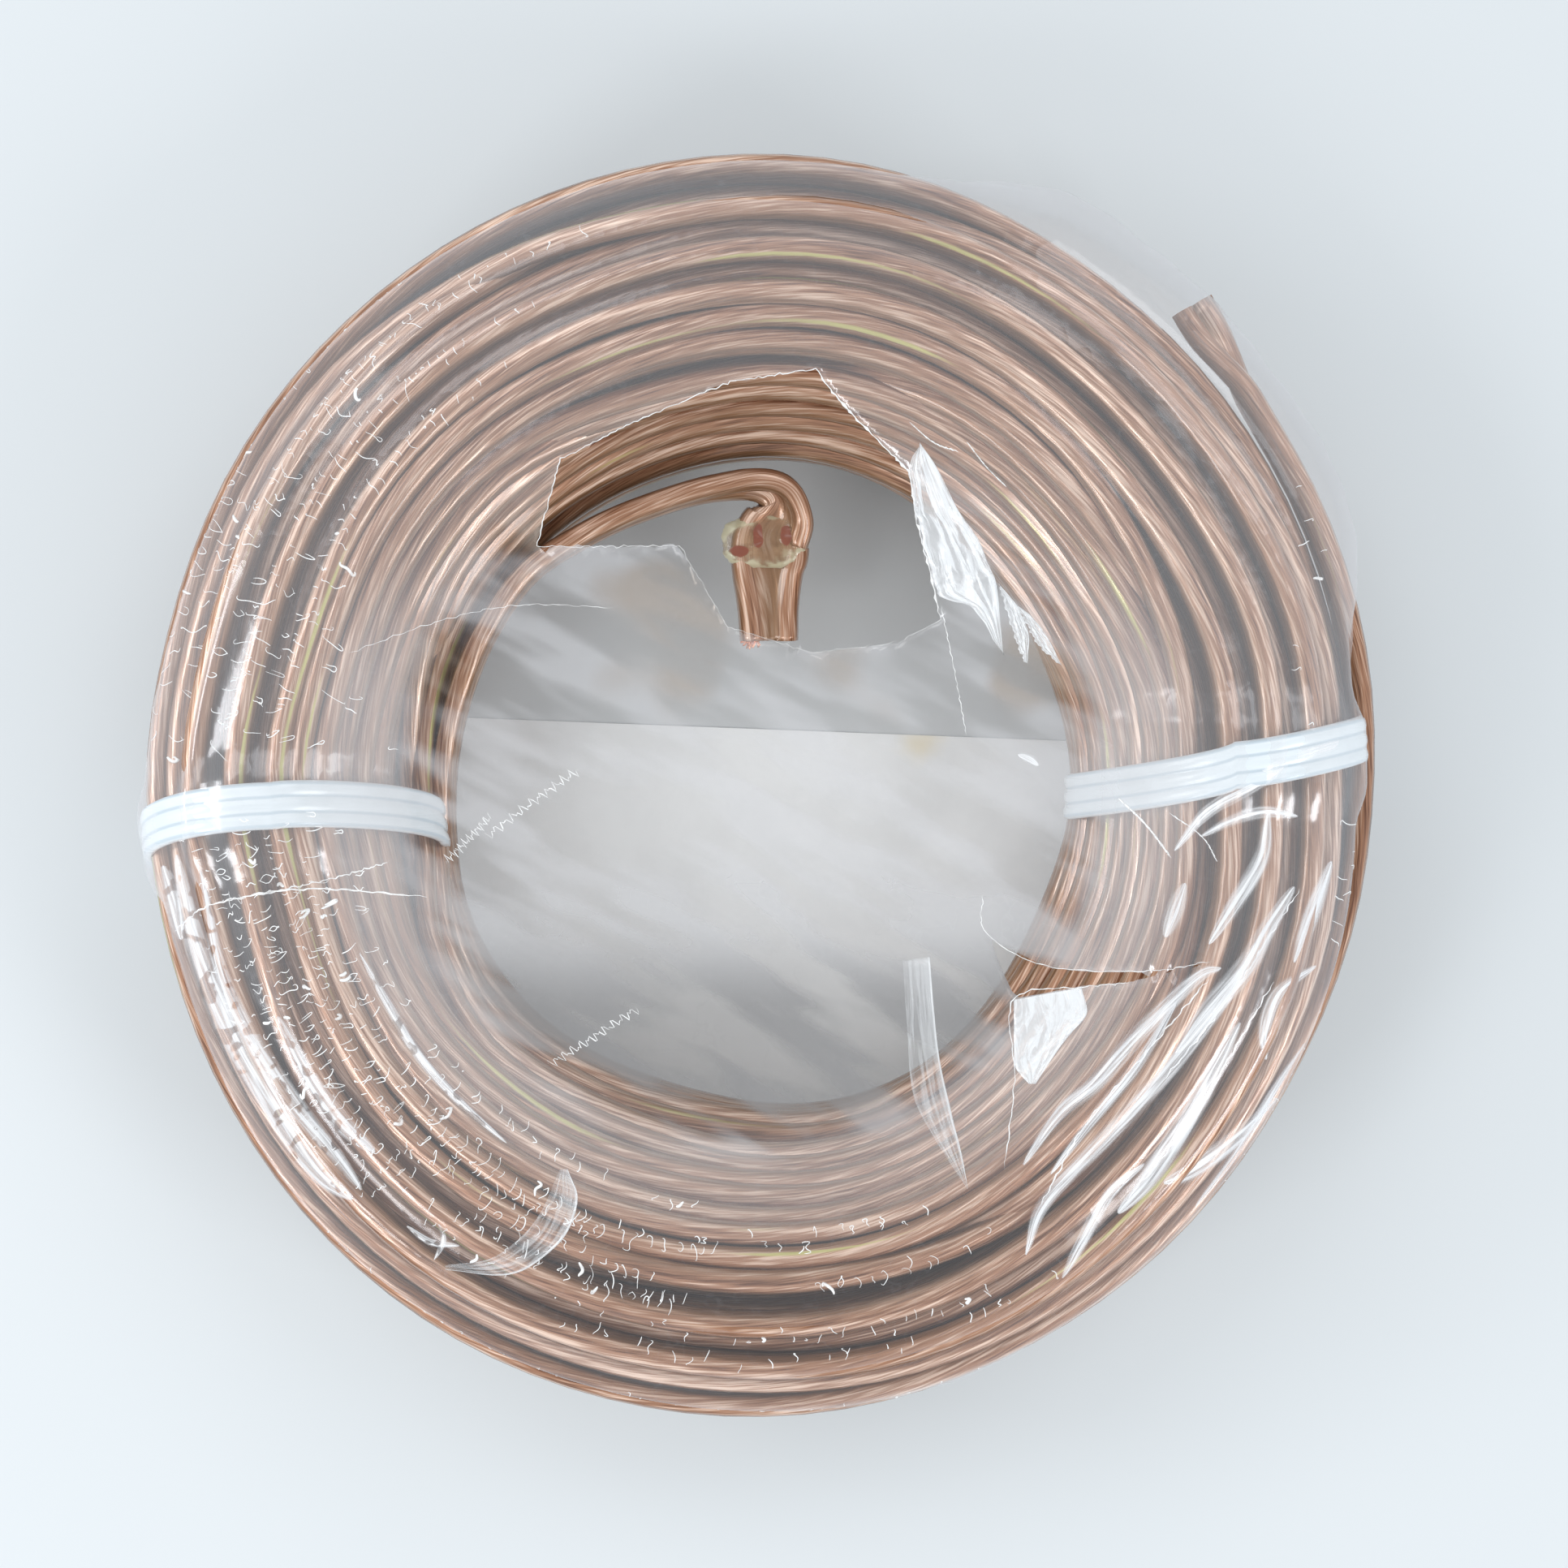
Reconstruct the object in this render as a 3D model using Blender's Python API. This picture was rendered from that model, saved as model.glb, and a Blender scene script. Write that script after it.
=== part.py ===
"""Coil of clear twin-core wire, tied twice, on a card insert and wrapped in clear film.

Metres, +Z up. The coil lies flat on the floor (z = 0) with the middle of its bore over the
origin. +X and +Y are the coil's right and top as somebody looks down on it.

Every round form here is first laid out round, at a "turned" radius, and then narrowed along X
by COIL_SQUASH, because the coil is slightly oval.
"""
import math

import bmesh
import bpy
from mathutils import Vector

# Coil of wire
COIL_OUTER_RADIUS = 0.0985
COIL_BORE_RADIUS = 0.0530
COIL_HEIGHT = 0.0440
COIL_SQUASH = 0.965
SECTION_POWER = 2.6
INNER_SLOPE_POWER = 1.4
TURN_GROOVE = 0.0013

# Twin wire, two round cores side by side
CORE_DIAMETER = 0.0038
WIRE_WIDTH = 2 * CORE_DIAMETER

# Ties: flat strip with three ribs, closed round the coil's section
TIE_WIDTH = 0.0072
TIE_THICKNESS = 0.0010
TIE_RIBS = 3
TIE_RIB_HEIGHT = 0.0003
# Sideways place of each tie (along Y) where it passes the bore, the top and the outer wall
LEFT_TIE_PLACE = (-0.0062, -0.0031, -0.0075)
RIGHT_TIE_PLACE = (-0.0020, 0.0028, 0.0071)

# Card insert, tucked under the coil on three sides
CARD_THICKNESS = 0.0004
CARD_TUCK = 0.0040
CARD_CORNER = 0.0120
CARD_EDGE_Y = 0.0092
CARD_TURN = math.radians(-2.2)

# Clear film
FILM_THICKNESS = 0.0002
FILM_SAG = 0.0040
TIE_BUMP_HALF_ANGLE = math.radians(12.0)
TIE_BUMP_FADE_ANGLE = math.radians(24.0)
END_BULGE_FROM = math.radians(8.0)
END_BULGE_TO = math.radians(78.0)
END_BULGE_FADE = math.radians(20.0)
END_BULGE_SLACK = 0.0012
# Outline of the hole torn in the top sheet, seen from above
TEAR_OUTLINE = (
    (-0.0293, 0.0493), (-0.0182, 0.0549), (-0.0035, 0.0610), (0.0094, 0.0629),
    (0.0137, 0.0573), (0.0236, 0.0475), (0.0248, 0.0401), (0.0273, 0.0302),
    (0.0285, 0.0250), (0.0220, 0.0215), (0.0090, 0.0200), (-0.0040, 0.0240),
    (-0.0112, 0.0363), (-0.0220, 0.0361), (-0.0329, 0.0361),
)

# Outer end of the wire: a straight tail that leaves the outer wall
OUTER_END_ANGLE = math.radians(31.0)
OUTER_END_LENGTH = 0.0280
OUTER_END_RISE = 0.0030

# Inner end of the wire. Each point of its middle line has its angle round the coil in degrees,
# its distance in from the bore's wall, its height over the coil's middle, how far the wire has
# twisted over, from 0 (standing on edge) to 90 degrees (lying flat), and its width and its
# thickness there as shares of the plain wire's. The crushed place is wide and thin, and past
# it the two cores are spread apart.
INNER_END_ROUTE = (
    (156.1, 0.0024, -0.0013, 0, 1.00, 1.00), (148.0, 0.0025, -0.0014, 0, 1.00, 1.00),
    (137.9, 0.0026, -0.0017, 0, 1.00, 1.00), (126.2, 0.0042, -0.0023, 0, 1.00, 1.00),
    (111.1, 0.0053, -0.0033, 0, 1.00, 1.00), (98.1, 0.0051, -0.0043, 5, 1.00, 1.00),
    (89.4, 0.0050, -0.0050, 25, 1.00, 1.00), (84.9, 0.0066, -0.0058, 55, 1.10, 0.95),
    (84.2, 0.0098, -0.0066, 80, 1.45, 0.80), (86.0, 0.0131, -0.0072, 90, 1.63, 0.74),
    (86.6, 0.0160, -0.0077, 90, 1.45, 0.85), (86.9, 0.0190, -0.0081, 90, 1.37, 1.00),
    (86.2, 0.0243, -0.0089, 90, 1.37, 1.00), (85.4, 0.0296, -0.0096, 90, 1.37, 1.00),
)

# Fits
CLEARANCE = 0.0003
TIE_CLEARANCE = 0.00035

# Fineness of the round forms
SEGMENTS = 48
SECTION_STEPS = 720
POINTS_PER_TURN = 4
TIE_STEPS = 36
WALL_STEPS = 12
END_STEPS = 30
STADIUM_STEPS = 4

# Worked out from the sizes above
RING_RADIUS = (COIL_OUTER_RADIUS + COIL_BORE_RADIUS) / 2
RING_HALF_WIDTH = (COIL_OUTER_RADIUS - COIL_BORE_RADIUS) / 2
RING_HALF_HEIGHT = COIL_HEIGHT / 2
RING_FLOOR = FILM_THICKNESS + CLEARANCE + TIE_THICKNESS + TIE_RIB_HEIGHT + TIE_CLEARANCE
RING_MIDDLE_Z = RING_FLOOR + RING_HALF_HEIGHT
TIE_REACH = TIE_CLEARANCE + TIE_THICKNESS + TIE_RIB_HEIGHT
FILM_STANDOFF = CLEARANCE + FILM_THICKNESS
TIE_BUMP = TIE_REACH
OUTER_END_START = COIL_OUTER_RADIUS + CLEARANCE + CORE_DIAMETER / 2
OUTER_END_REACH = math.hypot(OUTER_END_START, OUTER_END_LENGTH) + CORE_DIAMETER / 2
END_BULGE = OUTER_END_REACH - COIL_OUTER_RADIUS + END_BULGE_SLACK


def clear_scene():
    """Remove whatever the open file holds."""
    for found in list(bpy.data.objects):
        bpy.data.objects.remove(found, do_unlink=True)


def finish_material(name, colour, roughness, metallic=0.0, alpha=1.0):
    """A plain Principled material."""
    material = bpy.data.materials.new(name)
    material.use_nodes = True
    shader = material.node_tree.nodes["Principled BSDF"]
    shader.inputs["Base Color"].default_value = (*colour, 1.0)
    shader.inputs["Roughness"].default_value = roughness
    shader.inputs["Metallic"].default_value = metallic
    shader.inputs["Alpha"].default_value = alpha
    return material


def lofted(name, loops, material, closed=False, poles=(None, None)):
    """A body through closed loops of points. The last loop joins the first one when closed,
    or else each end is a pole's fan, or a flat cap where no pole is given."""
    shape = bmesh.new()
    rings = [[shape.verts.new(point) for point in loop] for loop in loops]
    pairs = list(zip(rings, rings[1:]))
    if closed:
        pairs.append((rings[-1], rings[0]))
    for low, high in pairs:
        for here in range(len(low)):
            after = (here + 1) % len(low)
            shape.faces.new((low[here], low[after], high[after], high[here]))
    if not closed:
        for ring, pole in zip((rings[0], rings[-1]), poles):
            if pole is None:
                shape.faces.new(ring)
                continue
            middle = shape.verts.new(pole)
            for here in range(len(ring)):
                shape.faces.new((ring[here], ring[(here + 1) % len(ring)], middle))
    bmesh.ops.recalc_face_normals(shape, faces=shape.faces)
    mesh = bpy.data.meshes.new(name)
    shape.to_mesh(mesh)
    shape.free()
    mesh.materials.append(material)
    mesh.shade_smooth()
    mesh.set_sharp_from_angle(angle=math.radians(40.0))
    body = bpy.data.objects.new(name, mesh)
    bpy.context.scene.collection.objects.link(body)
    return body


def power_cos(angle, power=SECTION_POWER):
    """Cosine bent towards a rounded square: sign kept, size raised to 2 / power."""
    return math.copysign(abs(math.cos(angle)) ** (2 / power), math.cos(angle))


def power_sin(angle, power=SECTION_POWER):
    """Sine bent towards a rounded square: sign kept, size raised to 2 / power."""
    return math.copysign(abs(math.sin(angle)) ** (2 / power), math.sin(angle))


def section_point(angle, grow=0.0):
    """Turned radius and height on the coil's section, grown outwards by a distance.
    Angle 0 is the outer wall and 90 degrees is the top. From the top down to the bore the
    section slopes, and elsewhere it is a rounded square."""
    slopes = math.pi / 2 < angle < math.pi
    power = INNER_SLOPE_POWER if slopes else SECTION_POWER
    return (RING_RADIUS + (RING_HALF_WIDTH + grow) * power_cos(angle, power),
            RING_MIDDLE_Z + (RING_HALF_HEIGHT + grow) * power_sin(angle, power))


def smooth_step(share):
    """0 up to share 0, 1 from share 1, and a smooth climb between."""
    share = min(max(share, 0.0), 1.0)
    return share * share * (3 - 2 * share)


def scalloped_section():
    """Turned radius and height round the coil's section, with a round row for each wire's
    width, and a groove of depth TURN_GROOVE between the rows."""
    outline = [Vector(section_point(math.tau * step / SECTION_STEPS))
               for step in range(SECTION_STEPS)]
    lengths = [0.0]
    for here in range(SECTION_STEPS):
        after = outline[(here + 1) % SECTION_STEPS]
        lengths.append(lengths[-1] + (after - outline[here]).length)
    turns = round(lengths[-1] / WIRE_WIDTH)
    count = turns * POINTS_PER_TURN
    middle = Vector((RING_RADIUS, RING_MIDDLE_Z))
    points = []
    here = 0
    for number in range(count):
        along = lengths[-1] * number / count
        while lengths[here + 1] < along:
            here += 1
        share = (along - lengths[here]) / (lengths[here + 1] - lengths[here])
        point = outline[here].lerp(outline[(here + 1) % SECTION_STEPS], share)
        row_place = (number % POINTS_PER_TURN) / POINTS_PER_TURN
        groove = TURN_GROOVE * (1 - math.sin(math.pi * row_place))
        inward = (middle - point).normalized()
        points.append(point + groove * inward)
    return points


def turned_point(radius, angle, height):
    """A turned point, narrowed along X."""
    return (radius * math.cos(angle) * COIL_SQUASH, radius * math.sin(angle), height)


def make_coil():
    """All the turns as one turned solid with its bore, narrowed along X."""
    material = finish_material("clear_wire", (0.60, 0.36, 0.25), 0.30, 0.4)
    section = scalloped_section()
    loops = [[turned_point(radius, math.tau * step / SEGMENTS, height)
              for radius, height in section] for step in range(SEGMENTS)]
    return lofted("wire_coil", loops, material, closed=True)


def stadium(half_width, half_thickness):
    """Points of a flat outline with round sides: across its width, and across its
    thickness."""
    flat = half_width - half_thickness
    points = []
    for side in (1, -1):
        for step in range(STADIUM_STEPS + 1):
            turn = math.pi * (step / STADIUM_STEPS - 0.5)
            points.append((side * (flat + half_thickness * math.cos(turn)),
                           side * half_thickness * math.sin(turn)))
    return points


def wire_loops(middles, twists, half_widths, half_thicknesses):
    """Loops of the twin wire's outline along a line of points. A twist of 0 stands the wire
    on edge, and a quarter turn lays it flat."""
    loops = []
    for number, middle in enumerate(middles):
        before = middles[max(number - 1, 0)]
        after = middles[min(number + 1, len(middles) - 1)]
        ahead = (after - before).normalized()
        level = ahead.cross(Vector((0, 0, 1))).normalized()
        upright = level.cross(ahead)
        wide = math.cos(twists[number]) * upright + math.sin(twists[number]) * level
        thin = ahead.cross(wide)
        loops.append([middle + across * wide + depth * thin for across, depth in
                      stadium(half_widths[number], half_thicknesses[number])])
    return loops


def smooth_route(points, steps):
    """Evenly stepped points of the smooth curve that passes through all the given ones
    (Catmull-Rom: each point's slope is half the way between its neighbours)."""
    knots = [Vector(point) for point in points]
    knots = [2 * knots[0] - knots[1]] + knots + [2 * knots[-1] - knots[-2]]
    spans = len(points) - 1
    route = []
    for step in range(steps + 1):
        span = min(int(step / steps * spans), spans - 1)
        share = step / steps * spans - span
        before, start, end, after = knots[span:span + 4]
        route.append(0.5 * (2 * start + (end - before) * share
                            + (2 * before - 5 * start + 4 * end - after) * share ** 2
                            + (3 * start - before - 3 * end + after) * share ** 3))
    return route


def make_inner_end():
    """The inner end of the wire, along the bore, bent and twisted flat, with its crushed
    place and its two spread cores."""
    material = finish_material("clear_wire_inner_end", (0.58, 0.38, 0.24), 0.30, 0.3)
    middles = []
    twists = []
    half_widths = []
    half_thicknesses = []
    for degrees, inward, rise, twist, width, thickness in smooth_route(INNER_END_ROUTE,
                                                                       END_STEPS):
        middles.append(Vector(turned_point(COIL_BORE_RADIUS - inward, math.radians(degrees),
                                           RING_MIDDLE_Z + rise)))
        twists.append(math.radians(twist))
        half_widths.append(width * CORE_DIAMETER)
        half_thicknesses.append(thickness * CORE_DIAMETER / 2)
    loops = wire_loops(middles, twists, half_widths, half_thicknesses)
    return lofted("wire_inner_end", loops, material)


def make_outer_end():
    """The outer end of the wire, a straight tail on edge that leaves the outer wall."""
    material = finish_material("clear_wire_outer_end", (0.60, 0.42, 0.30), 0.30, 0.3)
    start = OUTER_END_START * Vector((math.cos(OUTER_END_ANGLE), math.sin(OUTER_END_ANGLE), 0))
    ahead = Vector((-math.sin(OUTER_END_ANGLE), math.cos(OUTER_END_ANGLE), 0))
    middles = []
    for step in range(END_STEPS // 3 + 1):
        point = start + ahead * OUTER_END_LENGTH * step / (END_STEPS // 3)
        middles.append(Vector((point.x * COIL_SQUASH, point.y,
                               RING_MIDDLE_Z + OUTER_END_RISE)))
    count = len(middles)
    loops = wire_loops(middles, [0.0] * count, [CORE_DIAMETER] * count,
                       [CORE_DIAMETER / 2] * count)
    return lofted("wire_outer_end", loops, material)


def tie_outline():
    """The strip's outline: across its width, and out from the coil. Its outer face is ribbed."""
    points = [(-TIE_WIDTH / 2, 0.0)]
    rib_width = TIE_WIDTH / TIE_RIBS
    for rib in range(TIE_RIBS):
        left = -TIE_WIDTH / 2 + rib * rib_width
        points.append((left, TIE_THICKNESS))
        points.append((left + rib_width / 2, TIE_THICKNESS + TIE_RIB_HEIGHT))
    points.append((TIE_WIDTH / 2, TIE_THICKNESS))
    points.append((TIE_WIDTH / 2, 0.0))
    return points


def make_tie(name, side, place):
    """A ribbed strip closed round the coil's section, on the right (side 1) or the left (-1).
    Its sideways place swings smoothly through the three given places."""
    material = finish_material(name + "_plastic", (0.88, 0.91, 0.94), 0.28)
    at_bore, at_top, at_wall = place
    middle = (at_bore + at_wall) / 2
    loops = []
    for step in range(TIE_STEPS):
        angle = math.tau * step / TIE_STEPS
        drift = (middle + (at_wall - middle) * math.cos(angle)
                 + (at_top - middle) * math.sin(angle))
        loop = []
        for across, out in tie_outline():
            radius, height = section_point(angle, TIE_CLEARANCE + out)
            y = drift + across
            x = side * COIL_SQUASH * math.sqrt(radius ** 2 - y ** 2)
            loop.append((x, y, height))
        loops.append(loop)
    return lofted(name, loops, material, closed=True)


def make_card():
    """The card on the film's bottom sheet: straight top edge across the bore, the other
    three edges tucked under the coil, round corners."""
    material = finish_material("white_card", (0.86, 0.86, 0.84), 0.75)
    half_length = COIL_BORE_RADIUS * COIL_SQUASH + CARD_TUCK
    low_edge = -COIL_BORE_RADIUS - CARD_TUCK
    corners = ((half_length, CARD_EDGE_Y), (-half_length, CARD_EDGE_Y),
               (-half_length, low_edge), (half_length, low_edge))
    outline = []
    for number, (x, y) in enumerate(corners):
        inner_x = x - math.copysign(CARD_CORNER, x)
        inner_y = y - CARD_CORNER if number < 2 else y + CARD_CORNER
        for step in range(STADIUM_STEPS + 1):
            turn = math.pi / 2 * (number + step / STADIUM_STEPS)
            outline.append((inner_x + CARD_CORNER * math.cos(turn),
                            inner_y + CARD_CORNER * math.sin(turn)))
    bottom = FILM_THICKNESS + CLEARANCE
    loops = []
    for height in (bottom, bottom + CARD_THICKNESS):
        loops.append([(x * math.cos(CARD_TURN) - y * math.sin(CARD_TURN),
                       x * math.sin(CARD_TURN) + y * math.cos(CARD_TURN), height)
                      for x, y in outline])
    return lofted("card_insert", loops, material)


def tie_bump(angle):
    """How far the film stands out over the ties, at an angle round the coil."""
    off_axis = min(angle % math.pi, math.pi - angle % math.pi)
    fade = TIE_BUMP_FADE_ANGLE - TIE_BUMP_HALF_ANGLE
    return TIE_BUMP * smooth_step((TIE_BUMP_FADE_ANGLE - off_axis) / fade)


def end_bulge(angle):
    """How far the film's wall stands out round the wire's outer end."""
    rise = smooth_step((angle - END_BULGE_FROM) / END_BULGE_FADE)
    return END_BULGE * min(rise, smooth_step((END_BULGE_TO - angle) / END_BULGE_FADE))


def film_loops():
    """Outer surface of the film in rings: the top sheet from near its middle outwards, the
    wall down over the coil's rounded section, and the flat bottom sheet inwards."""
    # A facet's middle lies on the true circle, so its corners stand out by this factor
    corner = 1 / math.cos(math.pi / SEGMENTS)
    top = RING_MIDDLE_Z + RING_HALF_HEIGHT + FILM_STANDOFF
    angles = [math.tau * step / SEGMENTS for step in range(SEGMENTS)]
    loops = []
    for share in (0.16, 0.33, 0.49, 0.62, 0.73, 0.82, 0.91):
        dip = FILM_SAG * (1 - share ** 2) ** 2
        loops.append([turned_point(RING_RADIUS * share * corner, angle,
                                   top - dip + tie_bump(angle) * share) for angle in angles])
    for step in range(WALL_STEPS + 1):
        down = math.pi / 2 - math.pi * step / WALL_STEPS
        loop = []
        for angle in angles:
            grow = FILM_STANDOFF + tie_bump(angle)
            radius = RING_RADIUS + (RING_HALF_WIDTH + grow + end_bulge(angle)) * power_cos(down)
            reach = RING_HALF_HEIGHT + grow if down > 0 else RING_MIDDLE_Z
            height = RING_MIDDLE_Z + reach * power_sin(down)
            loop.append(turned_point(radius * corner, angle, height))
        loops.append(loop)
    for share in (0.6, 0.25):
        loops.append([turned_point(RING_RADIUS * share * corner, angle, 0.0)
                      for angle in angles])
    return loops, ((0, 0, top - FILM_SAG), (0, 0, 0))


def make_tear_cutter():
    """A prism over the hole in the top sheet. It only cuts, and isn't part of the object."""
    material = finish_material("tear_cutter", (1.0, 0.2, 0.2), 0.5)
    top = RING_MIDDLE_Z + RING_HALF_HEIGHT
    loops = [[(x, y, height) for x, y in TEAR_OUTLINE]
             for height in (top - 2 * FILM_SAG, top + 2 * FILM_SAG)]
    cutter = lofted("tear_cutter", loops, material)
    cutter.hide_render = True
    cutter.display_type = "WIRE"
    return cutter


def make_film():
    """The thin film round everything, with the hole torn in its top sheet."""
    material = finish_material("clear_film", (0.92, 0.95, 0.98), 0.12, alpha=0.15)
    loops, poles = film_loops()
    film = lofted("film_wrap", loops, material, poles=poles)
    wall = film.modifiers.new("film thickness", "SOLIDIFY")
    wall.thickness = FILM_THICKNESS
    wall.offset = -1.0
    tear = film.modifiers.new("torn hole", "BOOLEAN")
    tear.operation = "DIFFERENCE"
    tear.solver = "EXACT"
    tear.object = make_tear_cutter()
    return film


def main():
    """Build every piece."""
    clear_scene()
    make_coil()
    make_inner_end()
    make_outer_end()
    make_tie("tie_left", -1, LEFT_TIE_PLACE)
    make_tie("tie_right", 1, RIGHT_TIE_PLACE)
    make_card()
    make_film()


main()
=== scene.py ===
"""Looks of a coil of clear twin-core wire: its turns and ends, two ties, card and torn film.

Run as a script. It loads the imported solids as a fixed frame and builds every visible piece
round them, in metres, +Z up, with the coil's middle over the origin. Round forms are laid out
at a "turned" radius and then narrowed along X, because the coil is slightly oval.
"""
import math

import bpy
import numpy as np
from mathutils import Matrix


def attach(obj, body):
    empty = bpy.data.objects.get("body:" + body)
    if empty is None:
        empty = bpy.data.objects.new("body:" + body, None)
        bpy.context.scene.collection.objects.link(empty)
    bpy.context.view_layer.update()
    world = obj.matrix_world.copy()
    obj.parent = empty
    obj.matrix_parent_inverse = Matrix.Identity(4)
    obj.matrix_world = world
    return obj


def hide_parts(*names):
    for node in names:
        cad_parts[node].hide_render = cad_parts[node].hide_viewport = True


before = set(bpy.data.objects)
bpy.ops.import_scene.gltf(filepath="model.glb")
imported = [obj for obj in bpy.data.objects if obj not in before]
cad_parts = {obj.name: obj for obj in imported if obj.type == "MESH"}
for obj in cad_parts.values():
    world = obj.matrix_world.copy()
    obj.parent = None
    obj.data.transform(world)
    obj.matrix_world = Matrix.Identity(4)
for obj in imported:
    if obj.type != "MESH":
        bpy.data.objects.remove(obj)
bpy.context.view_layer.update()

bl_info = {
    "name": "Wrapped coil of twin wire",
    "version": (1, 0, 0),
    "blender": (4, 5, 0),
    "location": "3D View > Sidebar > Wire Coil",
    "description": "Builds the wire, ties, card and torn film of a wrapped coil, and its stage",
    "category": "Add Mesh",
}

# The one body, and the kinds of sockets that node groups have
BODY = "root"
COLOUR = "NodeSocketColor"
VALUE = "NodeSocketFloat"

# The coil's section, the same as the solids have
SQUASH = 0.965
OUTER_RADIUS = 0.0985
BORE_RADIUS = 0.0530
SECTION_POWER = 2.6
INNER_SLOPE_POWER = 1.4
RING_RADIUS = (OUTER_RADIUS + BORE_RADIUS) / 2
RING_HALF_WIDTH = (OUTER_RADIUS - BORE_RADIUS) / 2
RING_MIDDLE_Z = 0.02415
RING_HALF_HEIGHT = 0.0220

# Columns of turns, from the bore outwards: turned radius, pairs stacked in the column, height
# of the top pair's middle over the coil's middle, and how far the top pair leans outwards
COLUMNS = (
    (0.0549, 2, -0.0038, 29), (0.0586, 2, 0.0029, 29), (0.0622, 3, 0.0096, 29),
    (0.0657, 5, 0.0122, 14), (0.0688, 5, 0.0150, 0), (0.0721, 5, 0.0166, 0),
    (0.0754, 5, 0.0178, 0), (0.0786, 5, 0.0122, 0), (0.0819, 5, 0.0178, 0),
    (0.0854, 5, 0.0122, 0), (0.0888, 5, 0.0160, 0), (0.0925, 4, 0.0100, 0),
    (0.0962, 3, 0.0074, 0),
)
CREST_COLUMNS = (3, 4, 5, 6, 8, 10, 12)
LOW_COLUMNS = (7, 9, 11)

# Places round the coil, in turns of the wire's angle. A move to the next slot takes
# STEP_TURN, and the first slot of a column is about COLUMN_CUT shorter
INNER_JOIN = 156.1 / 360
WINDING_START = 205.0 / 360
STEP_TURN = 0.115
COLUMN_CUT = 0.09
TAIL_LEAVES = 326.0 / 360
TAIL_STRAIGHT = 31.0 / 360
TAIL_GAP = 0.0003
CORE_HALF = 0.0019
TAIL_START_RADIUS = OUTER_RADIUS + TAIL_GAP + CORE_HALF
TAIL_LENGTH = 0.0280
TAIL_RISE = 0.0030
TAIL_SINK = 0.0025
TAIL_LEAN = 78

# How the winding strays from true: the bore is smaller and lies to the right, fading over a
# distance; all turns wander and heave slowly, single ones are loose and sway, low ones rise
BORE_SHRINK = 0.0006
BORE_SHIFT = 0.0010
BORE_FADE = 0.022
WANDER = 0.00060
HEAVE = 0.00026
LOOSENESS = 0.00022
SWAY = 0.00016
LOFT = 0.0016

# Inner end of the wire, from the turns to the cut end: angle round the coil in degrees, distance
# in from the bore's wall, rise over the coil's middle, twist in degrees, share of the plain
# wire's width and share of its thickness
INNER_END_ROUTE = (
    (156.1, 0.0024, -0.0013, 0, 1.00, 1.00), (148.0, 0.0025, -0.0014, 0, 1.00, 1.00),
    (137.9, 0.0026, -0.0017, 0, 1.00, 1.00), (126.2, 0.0042, -0.0023, 0, 1.00, 1.00),
    (111.1, 0.0053, -0.0033, 0, 1.00, 1.00), (98.1, 0.0051, -0.0043, 5, 1.00, 1.00),
    (89.4, 0.0050, -0.0050, 25, 1.00, 1.00), (84.9, 0.0066, -0.0058, 55, 1.10, 0.95),
    (84.2, 0.0098, -0.0066, 80, 1.45, 0.80), (86.0, 0.0131, -0.0072, 90, 1.63, 0.74),
    (86.3, 0.0160, -0.0077, 90, 1.66, 0.85), (86.5, 0.0190, -0.0081, 90, 1.52, 1.00),
    (85.7, 0.0243, -0.0089, 90, 1.32, 1.00), (84.4, 0.0296, -0.0096, 90, 1.25, 1.00),
)
INNER_END_STEPS = 90

# Hole torn in the top sheet of the film, seen from above
TEAR_OUTLINE = (
    (-0.0293, 0.0493), (-0.0182, 0.0549), (-0.0035, 0.0610), (0.0094, 0.0629),
    (0.0137, 0.0573), (0.0236, 0.0475), (0.0248, 0.0401), (0.0273, 0.0302),
    (0.0285, 0.0250), (0.0220, 0.0215), (0.0090, 0.0200), (-0.0040, 0.0240),
    (-0.0112, 0.0363), (-0.0220, 0.0361), (-0.0329, 0.0361),
)

# Second, narrow tear in the film at the lower right
SLIT_OUTLINE = (
    (0.0361, -0.0236), (0.0445, -0.0278), (0.0507, -0.0285), (0.0599, -0.0285),
    (0.0689, -0.0271), (0.0568, -0.0300), (0.0500, -0.0306), (0.0398, -0.0325),
    (0.0379, -0.0288),
)

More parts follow.
